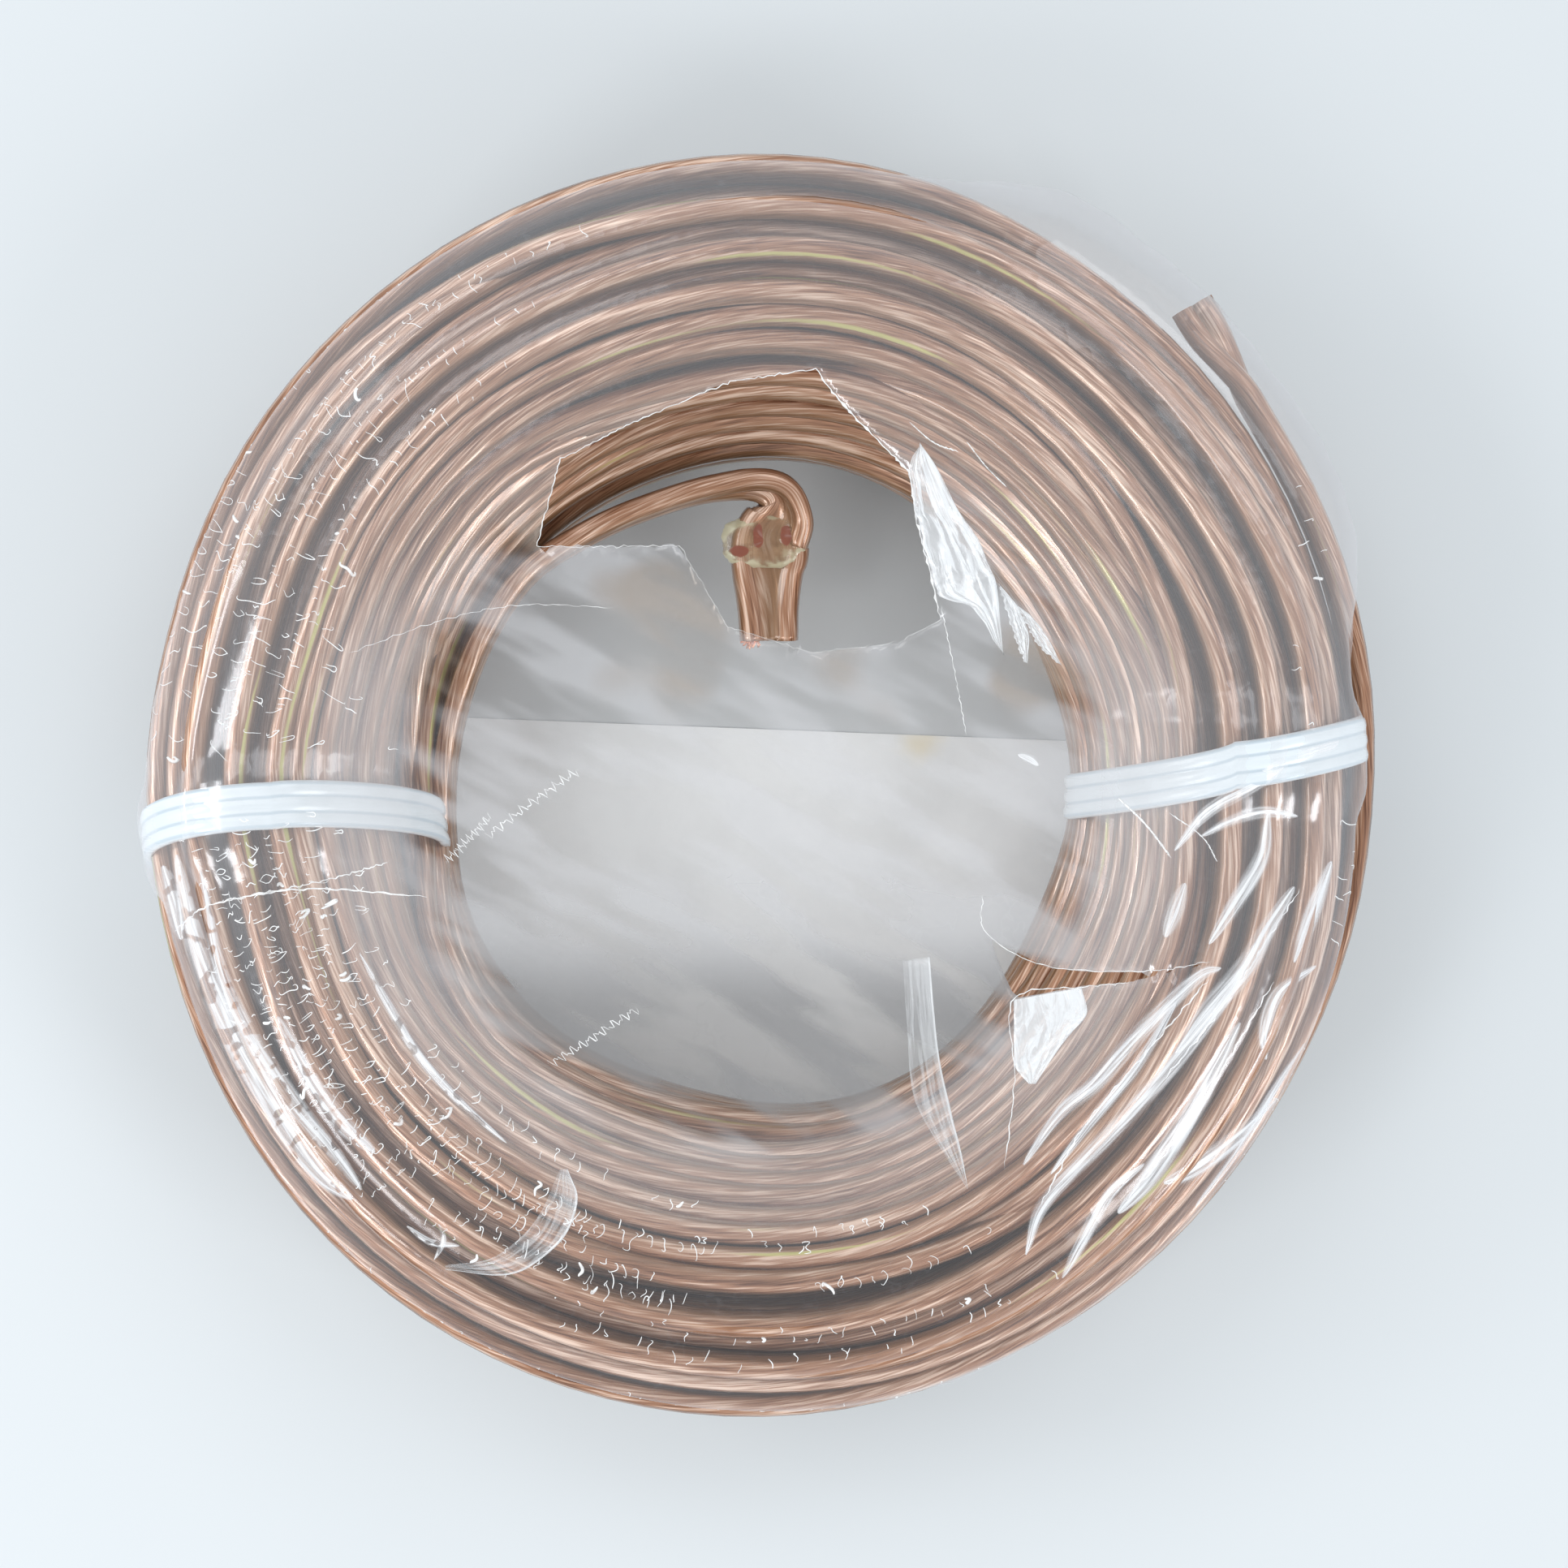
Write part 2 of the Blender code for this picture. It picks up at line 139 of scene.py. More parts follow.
# Loose scraps of film, seen from above: the left and the right edge of each, how high it
# stands over the sheet, and its finish. The hook is a painted sheen on the film, and the
# patch is milky film with a painted reflection
FILM_SCRAPS = {
    "flap": (((0.0252, 0.0517), (0.0236, 0.0477), (0.0243, 0.0424), (0.0254, 0.0384),
              (0.0265, 0.0339), (0.0274, 0.0309), (0.0285, 0.0284), (0.0336, 0.0263),
              (0.0379, 0.0196)),
             ((0.0252, 0.0517), (0.0279, 0.0477), (0.0310, 0.0415), (0.0329, 0.0389),
              (0.0345, 0.0362), (0.0359, 0.0327), (0.0368, 0.0304), (0.0374, 0.0253),
              (0.0379, 0.0196)), 0.0007, "crumpled"),
    "spike": (((0.0371, 0.0305), (0.0381, 0.0272), (0.0393, 0.0235), (0.0403, 0.0204),
               (0.0413, 0.0183)),
              ((0.0371, 0.0305), (0.0398, 0.0273), (0.0411, 0.0247), (0.0418, 0.0223),
               (0.0416, 0.0183)), 0.0006, "crumpled"),
    "shard": (((0.0398, 0.0273), (0.0416, 0.0241), (0.0433, 0.0210), (0.0465, 0.0181)),
              ((0.0398, 0.0273), (0.0423, 0.0253), (0.0447, 0.0221), (0.0467, 0.0180)),
              0.0004, "crumpled"),
    "strip": (((0.0227, -0.0269), (0.0233, -0.0362), (0.0242, -0.0469), (0.0273, -0.0534),
               (0.0324, -0.0613)),
              ((0.0268, -0.0263), (0.0280, -0.0400), (0.0300, -0.0497), (0.0315, -0.0558),
               (0.0325, -0.0613)), 0.0003, "folded"),
    "patch": (((0.0395, -0.0327), (0.0395, -0.0364), (0.0395, -0.0399), (0.0397, -0.0429),
               (0.0417, -0.0454)),
              ((0.0497, -0.0308), (0.0505, -0.0347), (0.0484, -0.0374), (0.0463, -0.0400),
               (0.0427, -0.0454)), 0.0004, "milky_reflection"),
    "hook_sheen": (((-0.0293, -0.0583), (-0.0320, -0.0645), (-0.0354, -0.0688), (-0.0404, -0.0721),
              (-0.0468, -0.0731)),
             ((-0.0281, -0.0583), (-0.0266, -0.0632), (-0.0293, -0.0694), (-0.0367, -0.0743),
              (-0.0468, -0.0738)), 0.0003, "folded"),
}

# Long creases in the film, painted white as glints, seen from above: half thickness, then the
# points they pass
LONG_CREASES = (
    (0.00016, (-0.0890, -0.0226), (-0.0822, -0.0183), (-0.0674, -0.0159), (-0.0496, -0.0171)),
    (0.00012, (-0.0810, -0.0180), (-0.0650, -0.0146), (-0.0551, -0.0118)),
    (0.00010, (-0.0176, -0.0341), (-0.0244, -0.0386), (-0.0310, -0.0426)),
    (0.00012, (-0.0266, 0.0022), (-0.0330, -0.0023), (-0.0404, -0.0079)),
    (0.00009, (-0.0399, -0.0048), (-0.0434, -0.0085), (-0.0468, -0.0118)),
    (0.00008, (0.0349, -0.0165), (0.0354, -0.0226), (0.0445, -0.0276), (0.0599, -0.0283),
     (0.0691, -0.0268)),
    (0.00010, (0.0568, -0.0301), (0.0500, -0.0308), (0.0395, -0.0327), (0.0396, -0.0448),
     (0.0380, -0.0583)),
    (0.00007, (0.0285, 0.0272), (0.0307, 0.0167), (0.0324, 0.0075)),
    (0.00005, (-0.0613, 0.0198), (-0.0477, 0.0247), (-0.0354, 0.0272), (-0.0207, 0.0268)),
    (0.00011, (0.0630, -0.0044), (0.0679, -0.0079), (0.0703, -0.0118)),
    (0.00011, (0.0324, 0.0518), (0.0353, 0.0481), (0.0384, 0.0450)),
    (0.00012, (0.0236, 0.0549), (0.0273, 0.0518), (0.0310, 0.0504)),
    (0.00020, (0.0552, -0.0021), (0.0595, -0.0062), (0.0633, -0.0112)),
    (0.00014, (0.0689, -0.0294), (0.0600, -0.0400), (0.0500, -0.0520), (0.0435, -0.0640)),
    (0.00014, (0.0790, -0.0300), (0.0720, -0.0420), (0.0650, -0.0530), (0.0560, -0.0640)),
    (0.00012, (0.0830, -0.0160), (0.0770, -0.0250), (0.0700, -0.0350), (0.0610, -0.0460)),
)

# Which of them tremble most
ZIGZAG_CREASES = (2, 3, 4)

# Long soft folds where the film is drawn tight along the wires, at the lower left and the
# lower right, painted white as sheens, seen from above: half width, then the points they pass
LEFT_FOLDS = (
    (0.0030, (-0.0880, -0.0108), (-0.0861, -0.0219), (-0.0810, -0.0352), (-0.0736, -0.0485),
     (-0.0669, -0.0588), (-0.0610, -0.0632)),
    (0.0018, (-0.0839, -0.0130), (-0.0810, -0.0285), (-0.0758, -0.0396), (-0.0699, -0.0485),
     (-0.0640, -0.0558), (-0.0596, -0.0617)),
    (0.0021, (-0.0721, -0.0352), (-0.0669, -0.0455), (-0.0625, -0.0514), (-0.0573, -0.0558)),
    (0.0010, (-0.0596, -0.0256), (-0.0551, -0.0337), (-0.0507, -0.0411), (-0.0441, -0.0485),
     (-0.0374, -0.0544)),
    (0.0007, (-0.0527, -0.0672), (-0.0490, -0.0696), (-0.0446, -0.0701)),
    (0.0006, (-0.0477, -0.0667), (-0.0471, -0.0694), (-0.0485, -0.0723)),
    (0.0022, (-0.0905, -0.0125), (-0.0891, -0.0177), (-0.0878, -0.0239)),
)
RIGHT_FOLDS = (
    (0.0016, (0.0707, -0.0278), (0.0669, -0.0294), (0.0578, -0.0385), (0.0516, -0.0454),
     (0.0463, -0.0499), (0.0409, -0.0576)),
    (0.0016, (0.0760, -0.0240), (0.0714, -0.0323), (0.0623, -0.0438), (0.0531, -0.0538),
     (0.0440, -0.0637), (0.0413, -0.0713)),
    (0.0021, (0.0821, -0.0156), (0.0776, -0.0225), (0.0745, -0.0278), (0.0684, -0.0347),
     (0.0638, -0.0408)),
    (0.0023, (0.0738, -0.0362), (0.0669, -0.0492), (0.0607, -0.0590), (0.0554, -0.0652)),
    (0.0013, (0.0593, -0.0576), (0.0540, -0.0621), (0.0502, -0.0690), (0.0470, -0.0752)),
    (0.0014, (0.0860, -0.0278), (0.0798, -0.0316), (0.0776, -0.0378), (0.0781, -0.0420)),
    (0.0020, (0.0807, -0.0485), (0.0745, -0.0538), (0.0669, -0.0590), (0.0623, -0.0606)),
    (0.0017, (0.0654, -0.0150), (0.0638, -0.0194), (0.0623, -0.0232)),
    (0.0018, (0.0883, -0.0118), (0.0852, -0.0194), (0.0821, -0.0271)),
    (0.0016, (0.0689, -0.0242), (0.0729, -0.0182), (0.0770, -0.0112), (0.0780, -0.0041)),
    (0.0013, (0.0638, -0.0101), (0.0689, -0.0041), (0.0760, 0.0000), (0.0802, 0.0026)),
    (0.0012, (0.0679, -0.0079), (0.0728, -0.0054), (0.0777, -0.0042), (0.0826, -0.0049)),
    (0.0010, (0.0755, 0.0010), (0.0802, 0.0034), (0.0876, 0.0057), (0.0906, 0.0063)),
    (0.0008, (0.0402, 0.0045), (0.0420, 0.0038), (0.0433, 0.0028)),
    (0.0012, (0.0850, -0.0400), (0.0800, -0.0470), (0.0740, -0.0570), (0.0680, -0.0650)),
    (0.0011, (0.0640, -0.0330), (0.0585, -0.0420), (0.0520, -0.0500), (0.0450, -0.0590)),
)

# Rows of small creases, painted white as glints, where the film is drawn over the crests of
# wire: first and last angle in degrees, turned radius, spacing along the wire, half length
# across the wire, half width along it, how much of a full loop each one is, and the share of
# them that is there
CREASE_ROWS = (
    (108, 160, 0.0890, 0.0024, 0.0014, 0.0001, 0.50, 0.85),
    (116, 168, 0.0818, 0.0022, 0.0014, 0.0001, 0.50, 0.90),
    (122, 170, 0.0752, 0.0022, 0.0014, 0.0001, 0.50, 0.85),
    (126, 160, 0.0975, 0.0024, 0.0010, 0.0003, 0.80, 0.75),
    (134, 172, 0.0870, 0.0034, 0.0014, 0.0005, 0.90, 0.75),
    (138, 174, 0.0800, 0.0034, 0.0015, 0.0005, 0.90, 0.75),
    (142, 175, 0.0735, 0.0036, 0.0013, 0.0004, 0.90, 0.70),
    (148, 177, 0.0965, 0.0022, 0.0015, 0.0007, 0.90, 0.85),
    (152, 177, 0.0925, 0.0026, 0.0018, 0.0005, 0.90, 0.80),
    (156, 177, 0.0845, 0.0026, 0.0021, 0.0005, 0.85, 0.80),
    (160, 177, 0.0775, 0.0026, 0.0020, 0.0004, 0.80, 0.80),
    (162, 177, 0.0700, 0.0028, 0.0022, 0.0004, 0.80, 0.70),
    (166, 177, 0.0655, 0.0026, 0.0018, 0.0003, 0.80, 0.65),
    (170, 177, 0.0590, 0.0026, 0.0014, 0.0003, 0.70, 0.50),
    (184, 208, 0.0905, 0.0019, 0.0014, 0.0004, 0.90, 0.60),
    (184, 226, 0.0852, 0.0017, 0.0012, 0.0004, 0.95, 0.80),
    (184, 228, 0.0800, 0.0016, 0.0014, 0.0004, 0.95, 0.85),
    (184, 228, 0.0748, 0.0016, 0.0012, 0.0004, 0.95, 0.85),
    (184, 226, 0.0700, 0.0018, 0.0013, 0.0004, 0.95, 0.80),
    (186, 224, 0.0655, 0.0022, 0.0012, 0.0004, 0.90, 0.65),
    (222, 262, 0.0640, 0.0018, 0.0010, 0.0004, 0.60, 0.65),
    (224, 264, 0.0705, 0.0016, 0.0014, 0.0006, 0.80, 0.80),
    (228, 258, 0.0755, 0.0018, 0.0015, 0.0007, 0.85, 0.75),
    (232, 262, 0.0800, 0.0016, 0.0012, 0.0004, 0.70, 0.75),
    (232, 296, 0.0838, 0.0019, 0.0009, 0.0002, 0.60, 0.70),
    (250, 302, 0.0872, 0.0022, 0.0010, 0.0002, 0.60, 0.70),
    (262, 294, 0.0690, 0.0017, 0.0009, 0.0004, 0.80, 0.70),
    (276, 300, 0.0765, 0.0019, 0.0011, 0.0006, 0.85, 0.70),
    (224, 262, 0.0972, 0.0022, 0.0010, 0.0003, 0.60, 0.85),
    (262, 292, 0.0968, 0.0032, 0.0009, 0.0002, 0.50, 0.60),
    (12, 27, 0.0905, 0.0026, 0.0012, 0.0002, 0.55, 0.70),
    (6, 14, 0.0860, 0.0026, 0.0010, 0.0002, 0.55, 0.60),
    (344, 356, 0.0950, 0.0020, 0.0016, 0.0003, 0.55, 0.85),
    (320, 340, 0.0975, 0.0022, 0.0012, 0.0003, 0.55, 0.70),
    (174, 177, 0.0560, 0.0018, 0.0015, 0.0003, 0.60, 0.60),
    (186, 226, 0.0872, 0.0011, 0.0009, 0.0001, 0.50, 0.75),
    (186, 228, 0.0815, 0.0011, 0.0010, 0.0001, 0.50, 0.80),
    (186, 230, 0.0765, 0.0011, 0.0009, 0.0001, 0.50, 0.80),
    (190, 230, 0.0720, 0.0012, 0.0009, 0.0001, 0.50, 0.70),
    (118, 172, 0.0900, 0.0013, 0.0009, 0.0001, 0.50, 0.60),
    (126, 174, 0.0830, 0.0013, 0.0009, 0.0001, 0.50, 0.60),
    (130, 174, 0.0765, 0.0014, 0.0009, 0.0001, 0.50, 0.55),
    (236, 262, 0.0785, 0.0012, 0.0014, 0.0002, 0.55, 0.75),
    (226, 250, 0.0725, 0.0012, 0.0010, 0.0003, 0.70, 0.75),
)

# Small forms of the film: ripples over the bore, pleats on the wall, half width of a crest,
# depth of the dips between crests and its two changes, and room round the wire's outer end
RIPPLE = 0.00028
PLEAT = 0.00035
CREST_HALF = 0.0014
DIP_DEPTH = 0.0007
DIP_CHANGES = (0.0004, 0.0003)
END_GAP = 0.0012

# Torn edges, hole and slit: steps and depth of the ragged line, and how close the film's points
# have to be to move onto it
TEAR_RAGGED = (0.0011, 0.00018)
SLIT_RAGGED = (0.0008, 0.00005)
RIM_RAGGED = (0.0006, 0.00010)
TEAR_REACH = 0.0008
RIM_HALF = 0.00008
RIM_LUMP = 0.00024

# Heights over the film of creases, long creases, the torn rim and folds, the rise of a fold,
# and the depth of folds in crumpled and in other scraps
CREASE_LIFT = 0.00006
LONG_CREASE_LIFT = 0.00008
RIM_LIFT = 0.00004
FOLD_LIFT = 0.00010
FOLD_RISE = 0.00025
CRUMPLE_DEPTH = 0.00045
SCRAP_DEPTH = 0.00008

# How far small creases stray from their row, and long ones tremble, the zigzag ones most
CREASE_STRAY = 0.0006
TREMBLE = 0.00022
ZIGZAG = 0.0010

# Card insert, tucked under the coil on three sides
CARD_THICKNESS = 0.00022
CARD_LIFT = 0.00006
CARD_BEVEL = 0.00006
CARD_TUCK = 0.0040
CARD_CORNER = 0.0030
CARD_EDGE_Y = 0.0092
CARD_TURN = math.radians(-2.2)

# Crushed place of the inner end: its middle and its half sizes across, along and through
CRUSH_MIDDLE = (0.0016, 0.0391, 0.0167)
CRUSH_HALF = (0.0071, 0.0043, 0.0020)

# Windows in the crushed plastic: middle and half sizes
CRUSH_WINDOWS = (
    ((0.0004, 0.0398), (0.0008, 0.0020)), ((0.0050, 0.0398), (0.0008, 0.0016)),
    ((-0.0024, 0.0374), (0.0018, 0.0008)),
)

# Sideways place of each tie where it passes the bore, the top and the outer wall, its gap to
# the coil, and how far it lifts the film
LEFT_TIE_PLACE = (-0.0060, -0.0033, -0.0093)
RIGHT_TIE_PLACE = (-0.0020, 0.0028, 0.0071)
TIE_CLEARANCE = 0.00035
TIE_REACH = 0.00165

# Gap between the coil's section and the film, and half the width of a bare strand
FILM_STANDOFF = 0.0005
STRAND_HALF = 0.00017

# Camera, straight above the coil, and the floor's half width and height
CAMERA_X = 0.00465
CAMERA_HEIGHT = 0.5
VIEW_HALF_WIDTH = 0.12465
VIEW_DISTANCE = 0.476
FLOOR_HALF = 1.6
FLOOR_HEIGHT = -0.00003

# Start of all random draws
SEED = 11


def length_setting(name, description, default, **limits):
    """A length in metres, as a setting of a piece."""
    return bpy.props.FloatProperty(name=name, description=description, default=default,
                                   unit="LENGTH", **limits)


def count_setting(name, description, default, lowest):
    """A whole number, as a setting of a piece."""
    return bpy.props.IntProperty(name=name, description=description, default=default,
                                 min=lowest)


def tint_setting(name, description, default):
    """A colour, as a setting of a piece."""
    return bpy.props.FloatVectorProperty(name=name, description=description, default=default,
                                         size=3, min=0.0, max=1.0, subtype="COLOR")


class CoilWireSettings(bpy.types.PropertyGroup):
    """Sizes and colours of the wire."""
    core_diameter: length_setting(
        "Core diameter", "Outer diameter of one clear core of the twin wire", 0.0038, min=0.001)
    web_thickness: length_setting(
        "Web thickness", "Thickness of the clear web between the two cores", 0.0011, min=0.0002)
    stated_length: length_setting(
        "Length", "Length of wire that the coil is sold as", 25.0, min=1.0)
    rings_per_turn: count_setting(
        "Rings per turn", "Outlines along each turn of the wire", 96, 24)
    points_per_core: count_setting(
        "Points per core", "Points of the outline round each core", 9, 6)
    # Painted highlights and painted shade: bright copper on some strands, deep copper between
    # them
    copper_highlight: tint_setting(
        "Bright copper", "Colour of the strands that catch the light", (0.92, 0.67, 0.53))
    copper_mid: tint_setting(
        "Plain copper", "Colour of most strands under the clear plastic", (0.415, 0.212, 0.125))
    copper_gap_shade: tint_setting(
        "Deep copper", "Colour between the strands", (0.13, 0.050, 0.026))
    # Painted shade at the sides of each core, in the clear plastic's dark olive
    olive_side_shade: tint_setting(
        "Edge tint", "Dark olive of the clear plastic at the sides of a core",
        (0.20, 0.122, 0.064))
    # Painted highlight: yellow-green gleam at a core's side
    painted_edge_gleam: tint_setting(
        "Edge gleam", "Yellow-green gleam in the plastic at a core's side", (0.50, 0.46, 0.17))


class CoilTieSettings(bpy.types.PropertyGroup):
    """Sizes and colours of the two ties."""
    width: length_setting("Width", "Width of the ribbed strip", 0.0072)
    thickness: length_setting("Thickness", "Thickness between the ribs", 0.0010)
    rib_height: length_setting("Rib height", "Height of each rib", 0.0003)
    ribs: count_setting("Ribs", "Ribs side by side on the strip", 3, 1)
    colour: tint_setting("Colour", "Milky white plastic", (0.76, 0.83, 0.88))
    groove: tint_setting("Groove", "Bluish grey between the ribs", (0.50, 0.60, 0.68))


class CoilCardSettings(bpy.types.PropertyGroup):
    """Colours of the card insert."""
    colour: tint_setting("Colour", "Uncoated card", (0.80, 0.82, 0.83))
    stain: tint_setting(
        "Stain", "Faint yellow stain near the straight edge", (0.74, 0.62, 0.34))


class CoilFilmSettings(bpy.types.PropertyGroup):
    """Sizes and colours of the clear film."""
    thickness: length_setting("Thickness", "Thickness of the film", 0.00005, min=0.00001)
    sag: length_setting("Sag", "Dip of the top sheet over the bore", 0.0040)
    haze: bpy.props.FloatProperty(
        name="Haze", description="Share of light that the film throws back",
        default=0.235, min=0.0, max=1.0, subtype="FACTOR")
    colour: tint_setting(
        "Colour", "Tint of the light that the film throws back", (0.88, 0.885, 0.92))
    # Painted shade: dark tone of the bottom sheet inside the bore
    painted_bottom_shade: tint_setting(
        "Underside", "Dull tone of the bottom sheet inside the bore", (0.25, 0.235, 0.22))
    # Painted shade: grey veil over the lower half of the bore
    painted_shade: tint_setting(
        "Shaded", "Grey of the veil over the lower half of the bore", (0.27, 0.27, 0.275))


class CoilStageSettings(bpy.types.PropertyGroup):
    """Floor and light."""
    floor_colour: tint_setting("Floor", "Plain pale floor", (0.60, 0.64, 0.67))
    floor_glow: bpy.props.FloatProperty(
        name="Floor glow", description="Light that comes evenly through the floor",
        default=0.13, min=0.0)
    sky_strength: bpy.props.FloatProperty(
        name="Sky strength", description="Strength of the even light from all sides",
        default=0.95, min=0.0)


def smooth_step(share):
    """0 up to share 0, 1 from share 1, and 3 s^2 - 2 s^3 between."""
    share = np.clip(share, 0.0, 1.0)
    return share * share * (3 - 2 * share)


def turned(radius, angle, height):
    """Points (radius cos angle squash, radius sin angle, height)."""
    return np.stack([radius * np.cos(angle) * SQUASH, radius * np.sin(angle),
                     height + 0 * angle], axis=-1)


def wave_table(count, lowest, highest, reach, seed):
    """Whole numbers of waves round the coil, and random phases that change with the turned
    radius and the height."""
    dice = np.random.default_rng(seed)
    waves = dice.integers(lowest, highest + 1, count)
    phases = dice.uniform(0, math.tau, (2, count))
    slopes = dice.uniform(-reach, reach, (2, count))
    return waves, phases, slopes


SLOW_WAVES = wave_table(9, 1, 6, 70.0, SEED)
CREST_WAVES = wave_table(9, 2, 9, 900.0, SEED + 1)


def wave_sum(table, radius, angle, height, row):
    """Sum over the table of sin(k angle + phase + slope_r radius + slope_z height) / sqrt(k)."""
    waves, phases, slopes = table
    total = 0.0
    for number in range(len(waves)):
        total = total + np.sin(waves[number] * angle + phases[row][number]
                               + slopes[row][number] * radius
                               + slopes[1 - row][number] * height) / math.sqrt(waves[number])
    return total


def tie_fade(angle):
    """0 at both ties (angles 0 and 180 degrees), and 1 away from them."""
    return 1 - np.exp(-(np.sin(angle) / 0.22) ** 2)


def settle(radius, angle, height):
    """How the winding lies less than perfectly round: the bore sits a little to the right and
    is a little small, and smooth waves shift the turned radius and the height, but not at
    the ties."""
    near_bore = 1 - smooth_step((radius - BORE_RADIUS) / BORE_FADE)
    shift = near_bore * (-BORE_SHRINK + BORE_SHIFT * np.cos(angle))
    calm = tie_fade(angle)
    wander = WANDER * wave_sum(SLOW_WAVES, radius, angle, height, 0) * calm
    heave = HEAVE * wave_sum(SLOW_WAVES, radius, angle, height, 1) * calm
    return radius + shift + wander, height + heave


def winding_slots(core_diameter):
    """Place of every turn in the coil's section, in the order of winding: the columns are
    filled upwards and downwards by turns. Gives turned radius, height over the coil's middle,
    lean, and the number of the column."""
    slots = []
    for number, (radius, pairs, top, lean) in enumerate(COLUMNS):
        stack = []
        for row in range(pairs):
            if row == 0:
                out = core_diameter / 2 * math.sin(math.radians(lean))
                stack.append((radius + out, top, lean, number))
            else:
                drop = core_diameter / 2 * (1 - math.cos(math.radians(lean)))
                stack.append((radius, top + drop - 2 * core_diameter * row, 0, number))
        slots += stack if number % 2 else stack[::-1]
    return np.array(slots, float)


def wound_part(core_diameter, rings_per_turn):
    """The wound turns. Along t, in turns, the wire stays in one slot for a turn and then moves
    smoothly to the next one, so place(t) = first + sum of (next - this) S((t - b) / w + 1/2).
    The first slot of a column is shorter, which keeps the jumps between columns clear."""
    slots = winding_slots(core_diameter)
    columns = slots[:, 3]
    opens_column = np.diff(columns, prepend=columns[0]) > 0
    end = math.floor(WINDING_START + len(slots) - TAIL_STRAIGHT
                     - COLUMN_CUT * opens_column.sum()) + TAIL_STRAIGHT
    shorter = (WINDING_START + len(slots) - end) / opens_column.sum()
    bounds = WINDING_START + np.cumsum(1 - shorter * opens_column)
    steps = int(round((end - WINDING_START) * rings_per_turn))
    turns = np.linspace(WINDING_START, end, steps + 1)
    place = np.repeat(slots[:1, :3], len(turns), axis=0)
    for number in range(len(slots) - 1):
        share = smooth_step((turns - bounds[number]) / STEP_TURN + 0.5)
        place += share[:, None] * (slots[number + 1, :3] - slots[number, :3])
    column_at = columns[np.clip(np.searchsorted(bounds, turns), 0, len(slots) - 1)]
    return turns, place, column_at, end


def smooth_route(knots, steps):
    """Evenly stepped points of the smooth curve that passes through all the given ones
    (Catmull-Rom: each point's slope is half the way between its neighbours)."""
    knots = np.asarray(knots, float)
    knots = np.vstack([2 * knots[0] - knots[1], knots, 2 * knots[-1] - knots[-2]])
    along = np.linspace(0, len(knots) - 3, steps + 1)
    span = np.minimum(along.astype(int), len(knots) - 4)
    share = (along - span)[:, None]
    before, start, end, after = (knots[span + shift] for shift in range(4))
    return 0.5 * (2 * start + (end - before) * share
                  + (2 * before - 5 * start + 4 * end - after) * share ** 2
                  + (3 * start - before - 3 * end + after) * share ** 3)


def wire_line(core_diameter, rings_per_turn):
    """Middle line of the whole wire from its inner cut end to its outer one, with the twist,
    width share and thickness share of each ring."""
    route = smooth_route(INNER_END_ROUTE[::-1], INNER_END_STEPS)
    inner = turned(BORE_RADIUS - route[:, 1], np.radians(route[:, 0]),
                   RING_MIDDLE_Z + route[:, 2])
    inner_form = route[:, 3:6]

    turns, place, column_at, end = wound_part(core_diameter, rings_per_turn)
    joins = int((WINDING_START - INNER_JOIN) * rings_per_turn)
    ahead = np.linspace(INNER_JOIN, WINDING_START, joins + 1)[1:-1]
    share = smooth_step((ahead - INNER_JOIN) / (WINDING_START - INNER_JOIN))
    join_radius = BORE_RADIUS - INNER_END_ROUTE[0][1]
    join_rise = INNER_END_ROUTE[0][2]
    radius = np.concatenate([join_radius + (place[0, 0] - join_radius) * share, place[:, 0]])
    rise = np.concatenate([join_rise + (place[0, 1] - join_rise) * share, place[:, 1]])
    lean = np.concatenate([0 * share, place[:, 2]])
    settled = np.concatenate([share, 1 + 0 * turns])
    angle = np.concatenate([ahead, turns]) * math.tau

    leaving = smooth_step((angle / math.tau - (end - TAIL_STRAIGHT - 1 + TAIL_LEAVES))
                          / (TAIL_STRAIGHT + 1 - TAIL_LEAVES))
    low = np.concatenate([0 * share, np.isin(column_at, LOW_COLUMNS).astype(float)])
    low = np.convolve(low, np.ones(9) / 9, mode="same")
    loose = LOOSENESS * wave_sum(CREST_WAVES, radius, angle, 0 * radius, 0) * tie_fade(angle)
    sway = SWAY * wave_sum(CREST_WAVES, radius, angle, rise, 1) * tie_fade(angle) * settled
    loft = low * LOFT * np.sin(2 * angle + radius * 700) * tie_fade(angle)
    height = RING_MIDDLE_Z + rise + loose + loft
    shifted_radius, shifted_height = settle(radius, angle, height)
    radius = radius + (shifted_radius - radius) * settled + sway
    height = height + (shifted_height - height) * settled
    radius = radius + (TAIL_START_RADIUS - radius) * leaving
    height = height + (RING_MIDDLE_Z + TAIL_RISE - height) * leaving
    wound = turned(radius, angle, height)
    wound_form = np.stack([lean, 1 + 0 * lean, 1 + 0 * lean], axis=-1)

    tail_angle = TAIL_STRAIGHT * math.tau
    start = np.array([math.cos(tail_angle), math.sin(tail_angle)]) * TAIL_START_RADIUS
    forward = np.array([-math.sin(tail_angle), math.cos(tail_angle)])
    along = np.linspace(0, TAIL_LENGTH, 14)[1:, None]
    flat = start + forward * along
    tail = np.stack([flat[:, 0] * SQUASH, flat[:, 1],
                     np.full(len(flat), RING_MIDDLE_Z + TAIL_RISE)], axis=-1)
    laid = smooth_step((along[:, 0] / TAIL_LENGTH - 0.35) / 0.6)
    tail[:, 2] -= TAIL_SINK * laid
    tail_form = np.stack([-TAIL_LEAN * laid, 1 + 0 * laid, 1 + 0 * laid], axis=-1)
    return (np.vstack([inner, wound, tail]),
            np.vstack([inner_form, wound_form, tail_form]))


